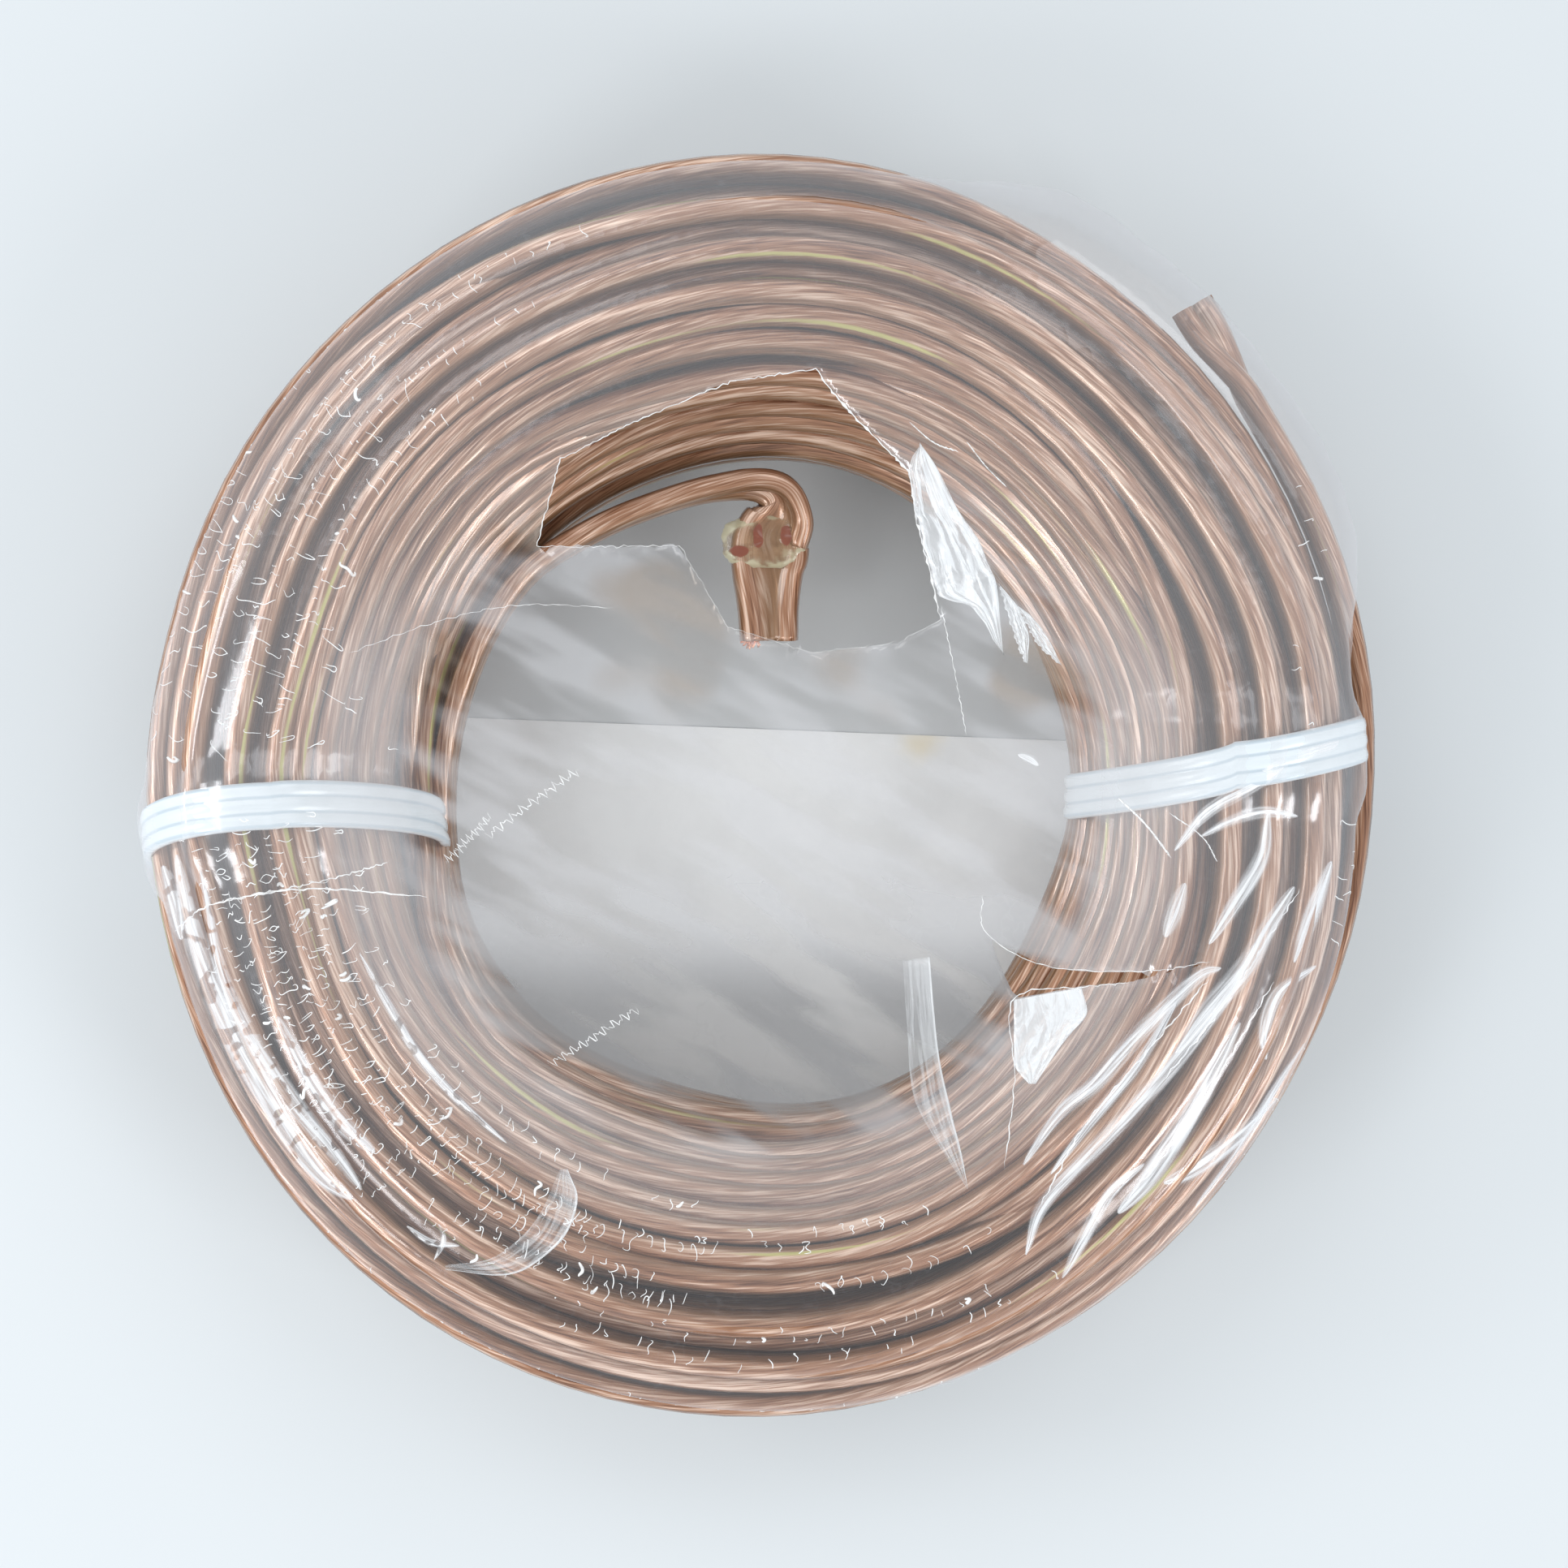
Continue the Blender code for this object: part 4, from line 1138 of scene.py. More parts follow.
def film_place(way, angle, sag):
    """Points of the film's outer face. From way 0 to 1 it crosses the top sheet from the middle
    to the ring's crown, z = top - sag (1 - way^2)^2; from 1 to 3 it comes down over the
    shoulder and the wall along the section's power curve; from 3 to 4 it goes back to the
    middle of the bottom sheet. Dips, ripples, the winding's own waves and the bumps over the
    ties and over the wire's outer end are added."""
    way = way + 0 * angle
    angle = angle + 0 * way
    top = RING_MIDDLE_Z + RING_HALF_HEIGHT + FILM_STANDOFF
    share = np.clip(way, 0, 1)
    down = (2 - np.clip(way, 1, 3)) * math.pi / 2
    cosine = np.abs(np.cos(down)) ** (2 / SECTION_POWER) * (np.abs(down) < math.pi / 2 - 1e-9)
    sine = np.sign(np.sin(down)) * np.abs(np.sin(down)) ** (2 / SECTION_POWER)
    reach = np.where(down > 0, RING_HALF_HEIGHT + FILM_STANDOFF, RING_MIDDLE_Z)
    radius = np.where(way < 1, RING_RADIUS * share, np.where(
        way < 3, RING_RADIUS + (RING_HALF_WIDTH + FILM_STANDOFF + end_bulge(angle)) * cosine,
        RING_RADIUS * (4 - way)))
    height = np.where(way < 1, top - sag * (1 - share ** 2) ** 2,
                      np.where(way < 3, RING_MIDDLE_Z + reach * sine, 0.0))
    x = radius * np.cos(angle) * SQUASH
    y = radius * np.sin(angle)
    ripple = RIPPLE * np.sin(430 * (x * 0.5 + y) + 3 * np.sin(90 * x)) * np.sin(150 * x + 1)
    height = height + np.where(way < 1, ripple * (1 - smooth_step((share - 0.55) / 0.3)), 0)
    above = smooth_step((2.0 - way) / 0.2)
    dip = crest_dip(radius, angle) * above
    pleats = PLEAT * np.sin(54 * angle + 4 * np.sin(3 * angle)) * np.sin(23 * angle + 2)
    pleats = pleats * smooth_step((way - 1.65) / 0.3) * smooth_step((2.9 - way) / 0.3)
    radius = radius - dip * cosine + pleats
    height = height - dip * np.where(way < 1, 1, np.maximum(sine, 0))
    contact = smooth_step((height - 0.010) / 0.02) * smooth_step((radius - 0.058) / 0.010)
    moved_radius, moved_height = settle(radius, angle, height)
    radius = radius + (moved_radius - radius) * contact
    height = height + (moved_height - height) * contact
    points = turned(radius, angle, height)
    lift = tie_lift(points[..., 0], points[..., 1])
    outward = np.stack([np.cos(angle), np.sin(angle)], axis=-1)
    aside = np.where((way > 1) & (way < 3), lift * cosine, 0)
    points[..., :2] += outward * aside[..., None]
    points[..., 2] += lift * np.where(way < 1, smooth_step((radius - 0.050) / 0.012),
                                      np.maximum(sine, 0) * (way < 3))
    points[..., 2] = np.maximum(points[..., 2], 0.0)
    return points


def film_way(radius):
    """The way that belongs to a turned radius on the upper side of the film."""
    beyond = np.clip((radius - RING_RADIUS) / (RING_HALF_WIDTH + FILM_STANDOFF), 0, 0.999)
    return np.where(radius < RING_RADIUS, radius / RING_RADIUS,
                    2 - np.arccos(beyond ** (SECTION_POWER / 2)) / (math.pi / 2))


def film_grid(sag, columns=360):
    """Points of the film's outer face, as rows of rings from the middle of the top to the
    middle of the bottom."""
    way = np.concatenate([
        np.linspace(0.03, 0.70, 30, endpoint=False), np.linspace(0.70, 1.0, 20, endpoint=False),
        np.linspace(1.0, 2.0, 30, endpoint=False), np.linspace(2.0, 3.0, 12, endpoint=False),
        np.linspace(3.0, 3.94, 9)])
    angle = np.linspace(0, math.tau, columns, endpoint=False)
    return film_place(way[:, None], angle[None, :], sag)


def film_height(x, y, sag):
    """Height of the film's upper side over places seen from above."""
    radius = np.hypot(x / SQUASH, y)
    return film_place(film_way(radius), np.arctan2(y, x / SQUASH), sag)[..., 2]


def tubes(paths, half_widths, flatness=1.0, points_round=6, closed=False):
    """Round or flat tubes along many paths of the same number of points: a ring of
    (w cos a, w f sin a) at each point, across and over the path. Open tubes get flat ends."""
    count, steps = paths.shape[:2]
    if closed:
        ahead = np.roll(paths, -1, axis=1) - np.roll(paths, 1, axis=1)
    else:
        ahead = np.gradient(paths, axis=1)
    ahead /= np.linalg.norm(ahead, axis=2, keepdims=True) + 1e-12
    level = np.cross(ahead, np.array([0.0, 0.0, 1.0]) + 1e-6)
    level /= np.linalg.norm(level, axis=2, keepdims=True) + 1e-12
    upright = np.cross(level, ahead)
    turn = np.linspace(0, math.tau, points_round, endpoint=False)
    ring = (np.cos(turn)[None, None, :, None] * level[:, :, None, :]
            + flatness * np.sin(turn)[None, None, :, None] * upright[:, :, None, :])
    points = (paths[:, :, None, :] + half_widths[:, :, None, None] * ring).reshape(-1, 3)
    base = grid_faces(steps, points_round, wrap_rows=closed, wrap_columns=True)[0]
    shift = (np.arange(count) * steps * points_round)[:, None, None]
    faces = [(base[None] + shift).reshape(-1, 4)]
    if not closed:
        first = np.arange(points_round)
        ends = np.stack([first[::-1], first + (steps - 1) * points_round])
        faces.append((ends[None] + shift).reshape(-1, points_round))
    return points, faces


def crease_paths(sag):
    """Paths and half widths of the small creases. Each is part of a loop,
    (a cos p, b sin p + s a cos p + q sin 3p), across and along the wire."""
    dice = np.random.default_rng(SEED + 5)
    rows = []
    for first, last, radius, pitch, across, along, sweep, odds in CREASE_ROWS:
        count = max(int(math.radians(last - first) * radius / pitch), 2)
        spot = np.radians(np.linspace(first, last, count))
        spot = spot + dice.normal(0, 0.28 * pitch / radius, count)
        place = radius + dice.normal(0, CREASE_STRAY, count)
        size = dice.uniform(0.40, 1.10, (2, count))
        loop = sweep * dice.uniform(0.45, 0.95, count)
        width = dice.uniform(0.00005, 0.00010, count) + 0.00020 * (dice.random(count) > 0.96)
        row = np.stack([spot, place, across * size[0], along * size[1], loop,
                        dice.normal(0, 0.30, count), dice.normal(0, 0.00016, count), width,
                        dice.uniform(-0.9, 0.9, count)], axis=-1)
        rows.append(row[dice.random(count) < odds])
    spot, place, across, along, loop, slant, curl, width, start = np.vstack(rows).T[..., None]
    step = np.linspace(0, 1, 16)[None, :]
    phase = math.tau * loop * step + start
    radial = across * np.cos(phase)
    forward = along * np.sin(phase) + slant * radial + curl * np.sin(3 * phase)
    radius = np.minimum(place + radial, OUTER_RADIUS)
    paths = film_place(film_way(radius), spot + forward / place, sag)
    paths[..., 2] += CREASE_LIFT
    widths = width * (0.35 + 0.65 * np.sin(math.pi * step) ** 0.6)
    return paths, widths


def long_crease_paths(sag):
    """Paths and half widths of the long creases: smooth lines on the film with a faint
    tremble, tapering to both ends."""
    step = np.linspace(0, 1, 61)
    paths = []
    widths = []
    for number, (width, *knots) in enumerate(LONG_CREASES):
        line = smooth_route(knots, 60)
        reach = ZIGZAG if number in ZIGZAG_CREASES else TREMBLE
        tremble = reach * np.sin(95 * step + number) * np.sin(27 * step + 2 * number)
        line = line + tremble[:, None] * np.array([0.7, -0.7])
        height = film_height(line[:, 0], line[:, 1], sag) + LONG_CREASE_LIFT
        paths.append(np.column_stack([line, height]))
        flutter = 0.75 + 0.35 * np.sin(90 * step + 3 * number) * np.sin(41 * step)
        widths.append(width * flutter * np.minimum(1, 12 * np.minimum(step, 1 - step) + 0.15))
    return np.array(paths), np.array(widths)


def scrap_grid(left, right, lift, sag, crumpled, rows=48, columns=16):
    """A scrap of film between two edges: points blended from edge to edge, at the film's
    height plus its lift and folds, h = l + c (sin(9u + 5v) sin(31v + 2u) + 1)."""
    first = smooth_route(left, rows - 1)
    last = smooth_route(right, rows - 1)
    along = np.linspace(0, 1, rows)[:, None]
    across = np.linspace(0, 1, columns)[None, :]
    width = np.linalg.norm(last - first, axis=1)[:, None]
    ragged = 0.00022 * np.sin(61 * along) * np.sin(23 * along + 1) * crumpled
    place = first[:, None, :] * (1 - across[..., None]) + last[:, None, :] * across[..., None]
    place = place + (ragged * (1 - across) ** 2)[..., None] * np.array([1.0, 0.3])
    height = film_height(place[..., 0], place[..., 1], sag)
    folds = np.sin(9 * across + 5 * along) * np.sin(31 * along + 2 * across) + 1
    depth = (CRUMPLE_DEPTH if crumpled else SCRAP_DEPTH) * np.minimum(1, width / 0.004)
    return np.concatenate([place, (height + lift + depth * folds)[..., None]], axis=-1)


def fold_grids(folds, sag, rows=44, columns=7):
    """A strip of film over each long fold: points at path + across w sin(pi s)^0.6, at the
    film's height plus a low rounded rise, and the metres along each."""
    step = np.linspace(0, 1, rows)
    across = np.linspace(-1, 1, columns)
    grids = []
    lengths = []
    for width, *knots in folds:
        line = smooth_route(knots, rows - 1)
        ahead = np.gradient(line, axis=0)
        pace = np.linalg.norm(ahead, axis=1, keepdims=True)
        aside = np.stack([-ahead[:, 1], ahead[:, 0]], axis=-1) / pace
        reach = width * (0.12 + 0.88 * np.sin(math.pi * step) ** 0.6)
        place = line[:, None, :] + aside[:, None, :] * (reach[:, None] * across)[..., None]
        rise = FOLD_LIFT + FOLD_RISE * (1 - across ** 2)
        height = film_height(place[..., 0], place[..., 1], sag) + rise
        grids.append(np.concatenate([place, height[..., None]], axis=-1))
        lengths.append(np.cumsum(pace[:, 0]) + 0.1 * len(lengths))
    return grids, lengths


def fold_shells(folds, sag, thickness):
    """Points, faces and corner UVs of all the strips of folds. V is in metres."""
    points = []
    faces = []
    uvs = []
    first = 0
    for grid, along in zip(*fold_grids(folds, sag)):
        part_points, part_faces, part_uv = thin_shell(grid, thickness)
        for face, uv in zip(part_faces, part_uv):
            row = np.rint(uv[..., 1] * (len(along) - 1)).astype(int)
            faces.append(face + first)
            uvs.append(np.stack([uv[..., 0], along[row]], axis=-1))
        points.append(part_points)
        first += len(part_points)
    return np.vstack(points), faces, uvs


def thin_shell(grid, thickness):
    """Points, faces and corner UVs of a thin closed sheet on a grid of points: the grid, the
    same grid lowered by the thickness, and a rim."""
    rows, columns = grid.shape[:2]
    count = rows * columns
    top, row_corners, column_corners = grid_faces(rows, columns)
    uv = np.stack([column_corners / (columns - 1), row_corners / (rows - 1)], axis=-1)
    number = np.arange(count).reshape(rows, columns)
    rim = np.concatenate([number[0], number[1:, -1], number[-1, -2::-1], number[-2:0:-1, 0]])
    after = np.roll(rim, -1)
    sides = np.stack([rim, after, after + count, rim + count], axis=-1)[:, ::-1]
    points = np.vstack([grid.reshape(-1, 3), grid.reshape(-1, 3) - [0, 0, thickness]])
    side_uv = np.stack([(sides % columns) / (columns - 1),
                        (sides % count // columns) / (rows - 1)], axis=-1)
    return points, [top, top[:, ::-1] + count, sides], [uv, uv[:, ::-1], side_uv]


def inside_outline(points, outline):
    """Which points lie inside a closed outline: an odd number of its sides lies to the right."""
    x = points[:, 0:1]
    y = points[:, 1:2]
    x1, y1 = outline[:, 0], outline[:, 1]
    x2, y2 = np.roll(x1, -1), np.roll(y1, -1)
    spans = (y1 > y) != (y2 > y)
    level = np.where(y2 == y1, 1e-12, y2 - y1)
    crossing = x1 + (y - y1) * (x2 - x1) / level
    return (spans & (x < crossing)).sum(axis=1) % 2 == 1


def nearest_on_outline(points, outline):
    """Distance to a closed outline, and the nearest place on it."""
    start = outline[None, :, :]
    side = np.roll(outline, -1, axis=0)[None, :, :] - start
    share = ((points[:, None, :] - start) * side).sum(axis=2) / (side ** 2).sum(axis=2)
    foot = start + np.clip(share, 0, 1)[..., None] * side
    gap = np.linalg.norm(points[:, None, :] - foot, axis=2)
    best = gap.argmin(axis=1)
    row = np.arange(len(points))
    return gap[row, best], foot[row, best]


def ragged_outline(outline, step, depth, seed):
    """The outline cut into short steps, each moved a little at random."""
    dice = np.random.default_rng(seed)
    corners = np.array(outline)
    after = np.roll(corners, -1, axis=0)
    parts = []
    for start, end in zip(corners, after):
        count = max(int(np.linalg.norm(end - start) / step), 1)
        share = np.arange(count)[:, None] / count
        parts.append(start + (end - start) * share)
    line = np.vstack(parts)
    return line + dice.normal(0, depth, line.shape)


def torn_sheet(points, faces, outline, reach):
    """Tear the hole: points close to the outline move onto it, and the faces inside go."""
    near = (points[:, 2] > RING_MIDDLE_Z) & (np.linalg.norm(points[:, :2], axis=1) < 0.09)
    picked = np.flatnonzero(near)
    gap, foot = nearest_on_outline(points[picked, :2], outline)
    close = gap < reach
    points = points.copy()
    points[picked[close], :2] = foot[close]
    middles = points[faces].mean(axis=1)
    inside = inside_outline(middles[:, :2], outline) & (middles[:, 2] > RING_MIDDLE_Z)
    return points, faces[~inside]


def drop_loose_points(points, faces):
    """Only the points that a face uses, and the faces with their new numbers."""
    used = np.unique(np.concatenate([part.ravel() for part in faces]))
    renumber = np.zeros(len(points), int)
    renumber[used] = np.arange(len(used))
    return points[used], [renumber[part] for part in faces]


def torn_rim(sag):
    """Path and half widths of the bead along the hole's torn edge, with small lumps where the
    film has been pulled: w = w0 + w1 max(0, sin(k s + 3 sin(s)))^6."""
    line = ragged_outline(TEAR_OUTLINE, *RIM_RAGGED, SEED)
    height = film_height(line[:, 0], line[:, 1], sag) + RIM_LIFT
    along = np.cumsum(np.linalg.norm(np.diff(line, axis=0, prepend=line[-1:]), axis=1))
    pulled = smooth_step((line[:, 0] - 0.006) / 0.008) * smooth_step((line[:, 1] - 0.024) / 0.006)
    lumps = np.maximum(0, np.sin(3400 * along + 3 * np.sin(500 * along))) ** 6
    hidden = smooth_step((0.0385 - line[:, 1]) / 0.004) * (1 - pulled)
    width = (RIM_HALF + RIM_LUMP * lumps * pulled) * (1 - 0.75 * hidden)
    return np.column_stack([line, height])[None], width[None]


def card_grid():
    """Rings of the card: its outline is a rectangle with quarter circles at its corners,
    turned a little, at the lower and the upper face, with a fine rounded edge."""
    half = BORE_RADIUS * SQUASH + CARD_TUCK
    low = -BORE_RADIUS - CARD_TUCK
    turn = np.linspace(0, math.tau, 64, endpoint=False)
    quarter = (turn // (math.pi / 2)).astype(int)
    corner_x = np.array([1, -1, -1, 1])[quarter] * (half - CARD_CORNER)
    corner_y = np.where(quarter < 2, CARD_EDGE_Y - CARD_CORNER, low + CARD_CORNER)
    middle = (CARD_EDGE_Y + low) / 2
    x = corner_x + CARD_CORNER * np.cos(turn)
    y = corner_y + CARD_CORNER * np.sin(turn)
    share = np.array([0.004, 0.9990, 1.0, 1.0, 0.9990, 0.004])[:, None]
    height = np.array([0, 0, CARD_BEVEL, CARD_THICKNESS - CARD_BEVEL, CARD_THICKNESS,
                       CARD_THICKNESS])[:, None] + CARD_LIFT
    x = x * share
    y = middle + (y - middle) * share
    return np.stack([x * math.cos(CARD_TURN) - y * math.sin(CARD_TURN),
                     x * math.sin(CARD_TURN) + y * math.cos(CARD_TURN),
                     height + 0 * x], axis=-1)


def crushed_shell(rows=28, columns=72):
    """Rings of the crushed plastic round the flattened wire: a squashed ball,
    (a sin r cos t, b sin r sin t, c cos r), with ragged edges and a lumpy face."""
    rise = np.linspace(0.06, math.pi - 0.06, rows)[:, None]
    turn = np.linspace(0, math.tau, columns, endpoint=False)[None, :]
    edge = 1 + 0.020 * np.sin(5 * turn + 1) + 0.015 * np.sin(13 * turn) + 0.010 * np.sin(
        29 * turn + 2)
    flat = np.sin(rise) ** 0.55
    lump = 1 + 0.06 * np.sin(5 * turn + 3 * rise) * np.sin(7 * rise + 2 * turn)
    x = CRUSH_HALF[0] * flat * np.sign(np.cos(turn)) * np.abs(np.cos(turn)) ** 0.75 * edge
    y = CRUSH_HALF[1] * flat * np.sign(np.sin(turn)) * np.abs(np.sin(turn)) ** 0.75 * edge
    z = CRUSH_HALF[2] * np.cos(rise) * lump
    return np.stack([x + CRUSH_MIDDLE[0], y + CRUSH_MIDDLE[1], z + CRUSH_MIDDLE[2]], axis=-1)


def bare_strands(end, ahead, level, upright, core_diameter):
    """Paths and half widths of the strands that stick out of a cut core: 1, 6 and 12 round
    each other, each bent outwards a little."""
    dice = np.random.default_rng(SEED + 9)
    turn = np.concatenate([[0], np.arange(6) * math.tau / 6, np.arange(12) * math.tau / 12])
    out = np.concatenate([[0], np.full(6, 0.26), np.full(12, 0.52)]) * core_diameter / 2
    side = (np.cos(turn) * out)[:, None] * level + (np.sin(turn) * out)[:, None] * upright
    length = dice.uniform(0.0004, 0.0013, 19)[:, None]
    bend = dice.normal(0, 0.0003, (19, 3))
    step = np.linspace(0, 1, 7)[None, :]
    forward = -0.0008 + (0.0008 + length) * step
    paths = (end + side[:, None, :] + forward[..., None] * ahead
             + (step ** 2)[..., None] * (bend[:, None, :] + 0.25 * side[:, None, :]))
    return paths, np.full(paths.shape[:2], STRAND_HALF)


class COIL_OT_twin_wire(bpy.types.Operator):
    """Build the whole wire: inner end, turns and outer tail, as one mesh"""
    bl_idname = "coil.twin_wire"
    bl_label = "Twin wire"

    def execute(self, context):
        wire = context.scene.coil_wire
        middles, form = wire_line(wire.core_diameter, wire.rings_per_turn)
        ahead, level, upright = line_frames(middles)
        side, across, through = twin_outline(wire.core_diameter, wire.web_thickness,
                                             wire.points_per_core)
        twist = np.radians(form[:, 0])[:, None]
        wide = np.cos(twist) * upright + np.sin(twist) * level
        thin = np.cross(ahead, wide)
        half = wire.core_diameter / 2
        spread = half * (2 * form[:, 1] - 1)
        place = side[None, :] * spread[:, None] + across[None, :]
        depth = through[None, :] * form[:, 2][:, None]
        rings = (middles[:, None, :] + place[..., None] * wide[:, None, :]
                 + depth[..., None] * thin[:, None, :])
        steps = np.linalg.norm(np.diff(middles, axis=0), axis=1)
        along = np.concatenate([[0.0], np.cumsum(steps)])
        points, faces, uv = tube_parts(rings, along)
        row = np.searchsorted(along, uv[0][..., 1] - 1e-9)
        uv[0][..., 0] += twist[row, 0] / (2 * math.tau)
        piece = new_piece("twin_wire", points, faces, wire_material(wire), uv)
        shell = crushed_shell()
        skin_points, skin_faces, _ = tube_parts(shell, np.zeros(len(shell)))
        ends = [new_piece("crushed_place", skin_points, skin_faces, crushed_material())]
        cores = [middles[0] + turn * spread[0] * wide[0] for turn in (1, -1)]
        left_core = min(cores, key=lambda core: core[0])
        strand_paths, strand_widths = bare_strands(left_core, -ahead[0], level[0], upright[0],
                                                   wire.core_diameter)
        ends.append(new_piece("bare_strands", *tubes(strand_paths, strand_widths),
                              bare_copper_material()))
        for end in ends:
            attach(end, BODY)
        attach(piece, BODY)
        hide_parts("wire_coil", "wire_inner_end", "wire_outer_end")
        return {"FINISHED"}


class COIL_OT_ties(bpy.types.Operator):
    """Build the two ribbed ties round the coil"""
    bl_idname = "coil.ties"
    bl_label = "Ties"

    def execute(self, context):
        tie = context.scene.coil_tie
        material = tie_material(tie)
        for name, node, side, place in (("left_tie", "tie_left", -1, LEFT_TIE_PLACE),
                                        ("right_tie", "tie_right", 1, RIGHT_TIE_PLACE)):
            rings = tie_strip(side, place, tie)
            rows, columns = rings.shape[:2]
            faces, row_corners, column_corners = grid_faces(rows, columns, wrap_rows=True,
                                                            wrap_columns=True)
            uv = np.stack([column_corners / columns, row_corners / rows], axis=-1)
            piece = new_piece(name, rings.reshape(-1, 3), [faces], material, [uv])
            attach(piece, BODY)
            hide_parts(node)
        return {"FINISHED"}


class COIL_OT_card(bpy.types.Operator):
    """Build the card insert on the bottom sheet"""
    bl_idname = "coil.card"
    bl_label = "Card"

    def execute(self, context):
        rings = card_grid()
        points, faces, _ = tube_parts(rings, np.zeros(len(rings)))
        piece = new_piece("card", points, faces, card_material(context.scene.coil_card))
        piece.data.polygons.foreach_set("use_smooth", np.zeros(len(piece.data.polygons), bool))
        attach(piece, BODY)
        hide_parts("card_insert")
        return {"FINISHED"}


class COIL_OT_film(bpy.types.Operator):
    """Build the clear film with its torn hole"""
    bl_idname = "coil.film"
    bl_label = "Film"

    def execute(self, context):
        film = context.scene.coil_film
        grid = film_grid(film.sag)
        rows, columns = grid.shape[:2]
        faces = grid_faces(rows, columns, wrap_columns=True)[0]
        points = np.vstack([grid.reshape(-1, 3), grid[0].mean(axis=0), grid[-1].mean(axis=0)])
        here = np.arange(columns)
        after = (here + 1) % columns
        first_fan = np.stack([after, here, np.full(columns, rows * columns)], axis=-1)
        last = (rows - 1) * columns
        last_fan = np.stack([here + last, after + last,
                             np.full(columns, rows * columns + 1)], axis=-1)
        for outline, ragged in ((TEAR_OUTLINE, TEAR_RAGGED), (SLIT_OUTLINE, SLIT_RAGGED)):
            points, faces = torn_sheet(points, faces, ragged_outline(outline, *ragged, SEED),
                                       TEAR_REACH)
        parts = [faces, first_fan, last_fan]
        if signed_volume(points, parts) < 0:
            parts = [part[:, ::-1] for part in parts]
        points, parts = drop_loose_points(points, parts)
        piece = new_piece("clear_film", points, parts, film_material(film), closed=False)
        wall = piece.modifiers.new("film thickness", "SOLIDIFY")
        wall.thickness = film.thickness
        wall.offset = -1.0
        wall.material_offset = 1
        piece.data.materials.append(clear_inner_material())

        extras = []
        # The patch's milky white is partly a painted reflection, and folded scraps get a painted
        # highlight on their right edge
        finishes = {"crumpled": scrap_material("crumpled_film", 0.22, 0.92, 0.0),
                    "milky_reflection": scrap_material("milky_film", 0.38, 0.78, 0.0),
                    "folded": scrap_material("folded_film", 0.05, 0.22, 0.55)}
        for name, (left, right, lift, finish) in FILM_SCRAPS.items():
            shell = thin_shell(scrap_grid(left, right, lift, film.sag, finish == "crumpled"),
                               film.thickness)
            extras.append(new_piece("film_" + name, shell[0], shell[1], finishes[finish],
                                    shell[2]))
        for name, folds, drawn in (
                ("film_left_sheen_folds", LEFT_FOLDS, sheen_fold_material("barred_sheen_folds", 0.80, 0.80)),
                ("film_right_sheen_folds", RIGHT_FOLDS, sheen_fold_material("plain_sheen_folds", 0.0, 0.86))):
            shell = fold_shells(folds, film.sag, film.thickness)
            extras.append(new_piece(name, shell[0], shell[1], drawn, shell[2]))
        # The small creases, the long creases and the torn rim all get this painted glint white
        crease = crease_glint_material()
        extras.append(new_piece("film_creases", *tubes(*crease_paths(film.sag), 0.5, 5), crease))
        extras.append(new_piece("film_long_creases", *tubes(
            *long_crease_paths(film.sag), 0.6, 6), crease))
        extras.append(new_piece("film_torn_rim", *tubes(
            *torn_rim(film.sag), 0.7, 6, closed=True), crease))
        for part in (piece, *extras):
            part.visible_shadow = False
            part.visible_diffuse = False
            part.visible_glossy = False
            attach(part, BODY)
        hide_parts("film_wrap")
        return {"FINISHED"}


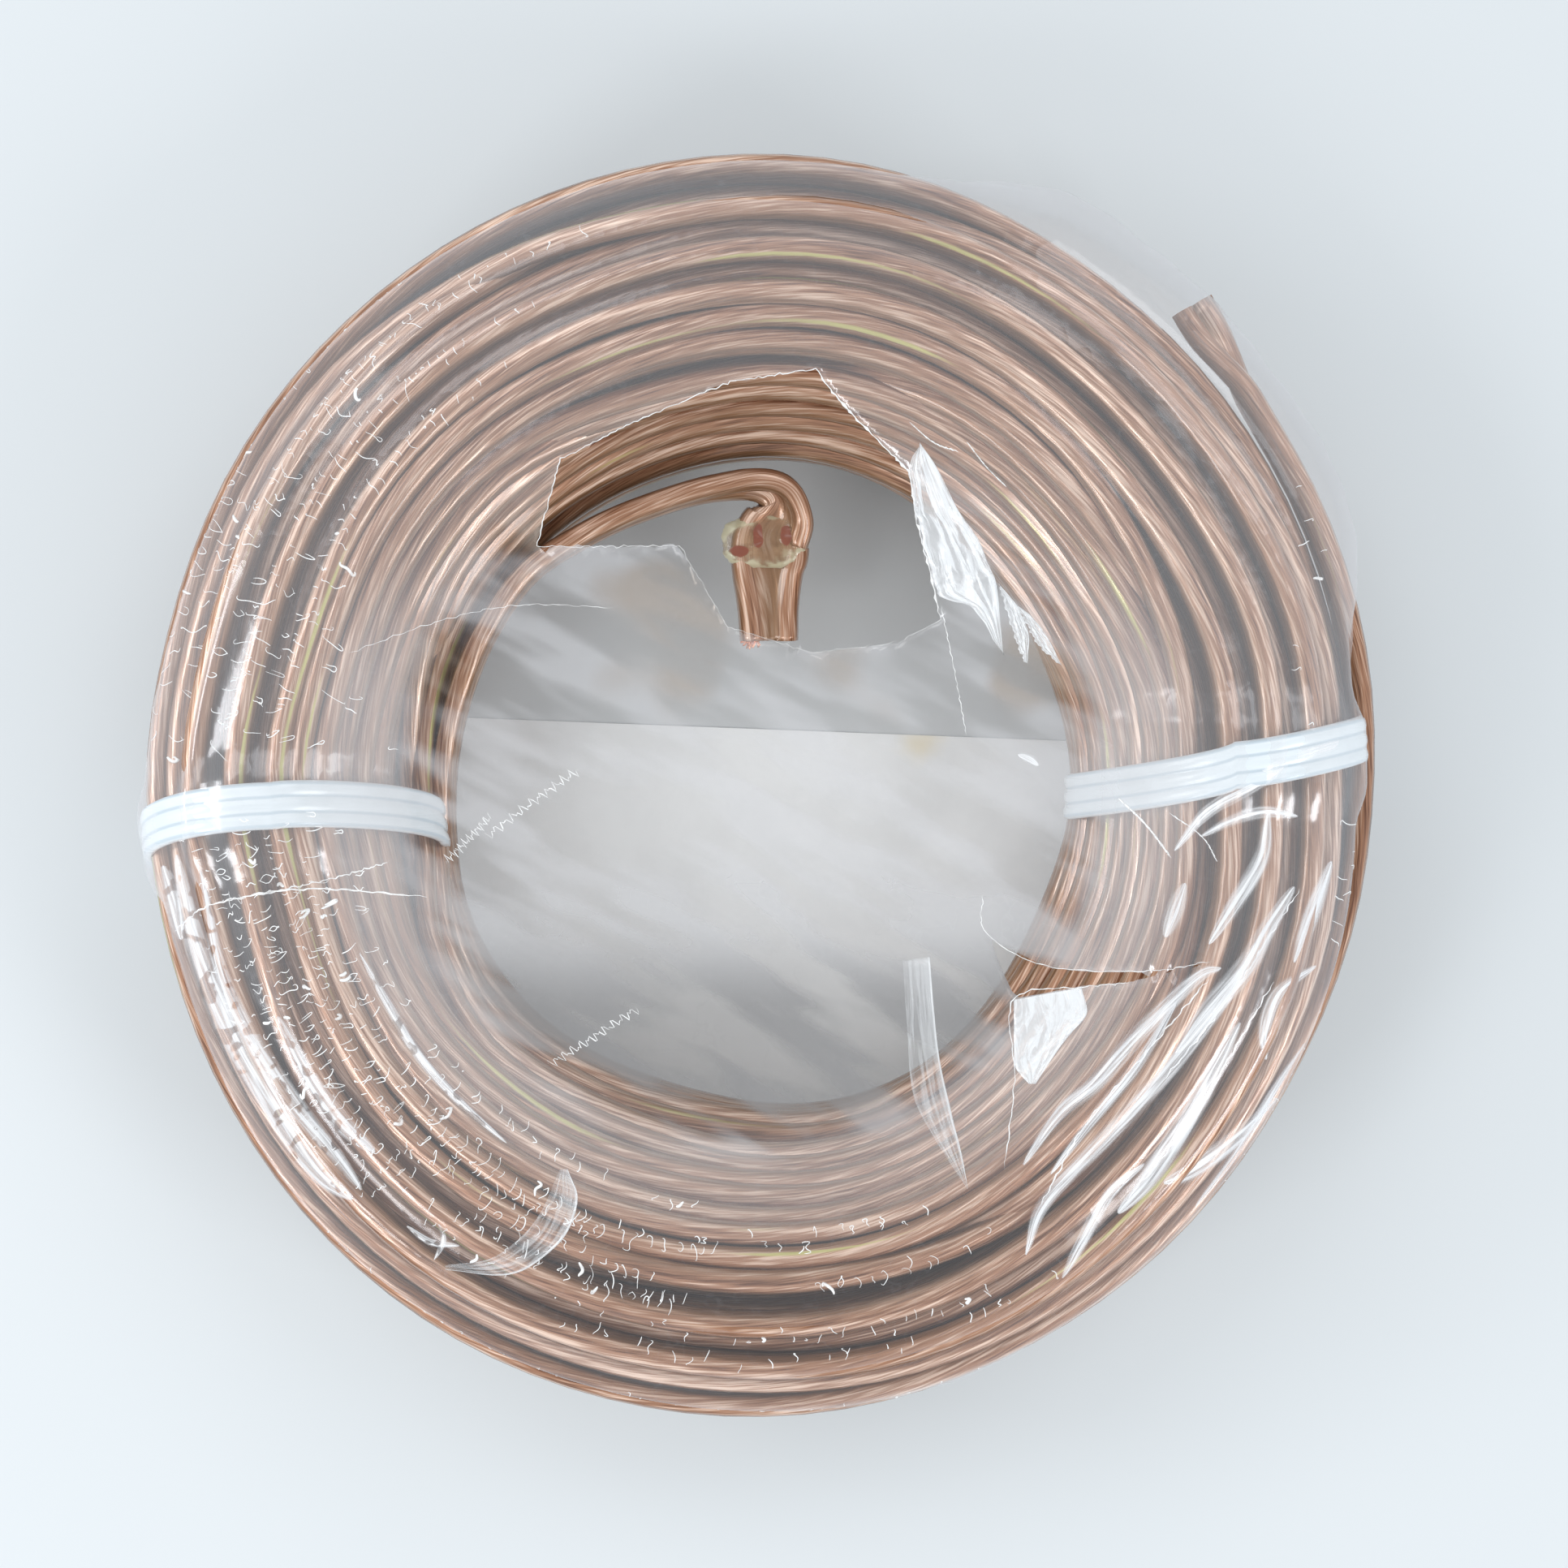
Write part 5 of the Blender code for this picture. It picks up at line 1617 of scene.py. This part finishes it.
class COIL_OT_stage(bpy.types.Operator):
    """Set up the floor, the soft light and the camera straight above"""
    bl_idname = "coil.stage"
    bl_label = "Stage"

    def execute(self, context):
        stage = context.scene.coil_stage
        corners = np.array([(x * FLOOR_HALF, y * FLOOR_HALF, FLOOR_HEIGHT)
                            for x, y in ((-1, -1), (1, -1), (1, 1), (-1, 1))])
        floor = new_piece("pale_floor", corners, [np.array([[0, 1, 2, 3]])],
                          stage_material(stage), closed=False)

        world = bpy.data.worlds.new("soft_studio")
        world.use_nodes = True
        sky = world.node_tree.nodes["Background"]
        graph = Graph(world.node_tree)
        up = graph.split(graph.node("TexCoord", {}).outputs["Generated"])[2]
        ramp = graph.fit(up, 0.97, 0.45, 0.50, 1.0)
        graph.feed(sky, {"Color": (0.95, 0.98, 1.0, 1.0),
                         "Strength": graph.times(ramp, stage.sky_strength)})
        world.cycles.sampling_method = "NONE"
        context.scene.world = world

        boxes = (
            ("softbox_lower_left", (-0.42, -0.34, 0.46), 0.20, 0.20, 1.0),
            ("softbox_left", (-0.62, 0.10, 0.40), 0.26, 0.20, 1.0),
            ("softbox_top_left", (-0.55, 0.75, 1.10), 0.60, 0.60, 2.0),
            ("softbox_top_right", (0.60, 0.65, 1.10), 0.60, 0.60, 1.8),
            ("softbox_lower_right", (0.46, -0.34, 0.42), 0.22, 0.20, 1.1),
        )
        for name, place, width, height, power in boxes:
            lamp = bpy.data.lights.new(name, "AREA")
            lamp.shape = "RECTANGLE"
            lamp.size = width
            lamp.size_y = height
            lamp.energy = power
            light = bpy.data.objects.new(name, lamp)
            light.location = place
            aim = np.array([0, 0, 0.02]) - np.array(place)
            light.rotation_euler = (math.atan2(math.hypot(aim[0], aim[1]), -aim[2]), 0,
                                    math.atan2(aim[1], aim[0]) - math.pi / 2)
            context.scene.collection.objects.link(light)

        lens = bpy.data.cameras.new("camera")
        lens.angle = 2 * math.atan(VIEW_HALF_WIDTH / VIEW_DISTANCE)
        lens.clip_start = 0.01
        camera = bpy.data.objects.new("camera", lens)
        camera.location = (CAMERA_X, 0.0, CAMERA_HEIGHT)
        context.scene.collection.objects.link(camera)
        context.scene.camera = camera
        context.scene.view_settings.view_transform = "Standard"
        return {"FINISHED"}


class COIL_PT_panel(bpy.types.Panel):
    """Lists the settings and the pieces"""
    bl_idname = "COIL_PT_panel"
    bl_label = "Wire Coil"
    bl_space_type = "VIEW_3D"
    bl_region_type = "UI"
    bl_category = "Wire Coil"

    def draw(self, context):
        layout = self.layout
        for title, group, operators in PANEL_ROWS:
            box = layout.box()
            box.label(text=title)
            settings = getattr(context.scene, group)
            for name in settings.bl_rna.properties.keys():
                if name not in ("rna_type", "name"):
                    box.prop(settings, name)
            for operator in operators:
                box.operator(operator)


PANEL_ROWS = (
    ("Wire", "coil_wire", ("coil.twin_wire",)),
    ("Ties", "coil_tie", ("coil.ties",)),
    ("Card", "coil_card", ("coil.card",)),
    ("Film", "coil_film", ("coil.film",)),
    ("Stage", "coil_stage", ("coil.stage",)),
)

SETTINGS = {
    "coil_wire": CoilWireSettings, "coil_tie": CoilTieSettings, "coil_card": CoilCardSettings,
    "coil_film": CoilFilmSettings, "coil_stage": CoilStageSettings,
}

CLASSES = (*SETTINGS.values(), COIL_OT_twin_wire, COIL_OT_ties, COIL_OT_card, COIL_OT_film,
           COIL_OT_stage, COIL_PT_panel)


def register():
    """Register the classes and hang the settings on the scene."""
    for entry in CLASSES:
        bpy.utils.register_class(entry)
    for name, group in SETTINGS.items():
        setattr(bpy.types.Scene, name, bpy.props.PointerProperty(type=group))


def unregister():
    """Take the settings and the classes away again."""
    for name in SETTINGS:
        delattr(bpy.types.Scene, name)
    for entry in reversed(CLASSES):
        bpy.utils.unregister_class(entry)


def main():
    """Build everything in order."""
    register()
    build_strand_group()
    build_crinkle_group()
    build_veil_group()
    bpy.ops.coil.stage()
    bpy.ops.coil.twin_wire()
    bpy.ops.coil.ties()
    bpy.ops.coil.card()
    bpy.ops.coil.film()


if __name__ == "__main__":
    main()
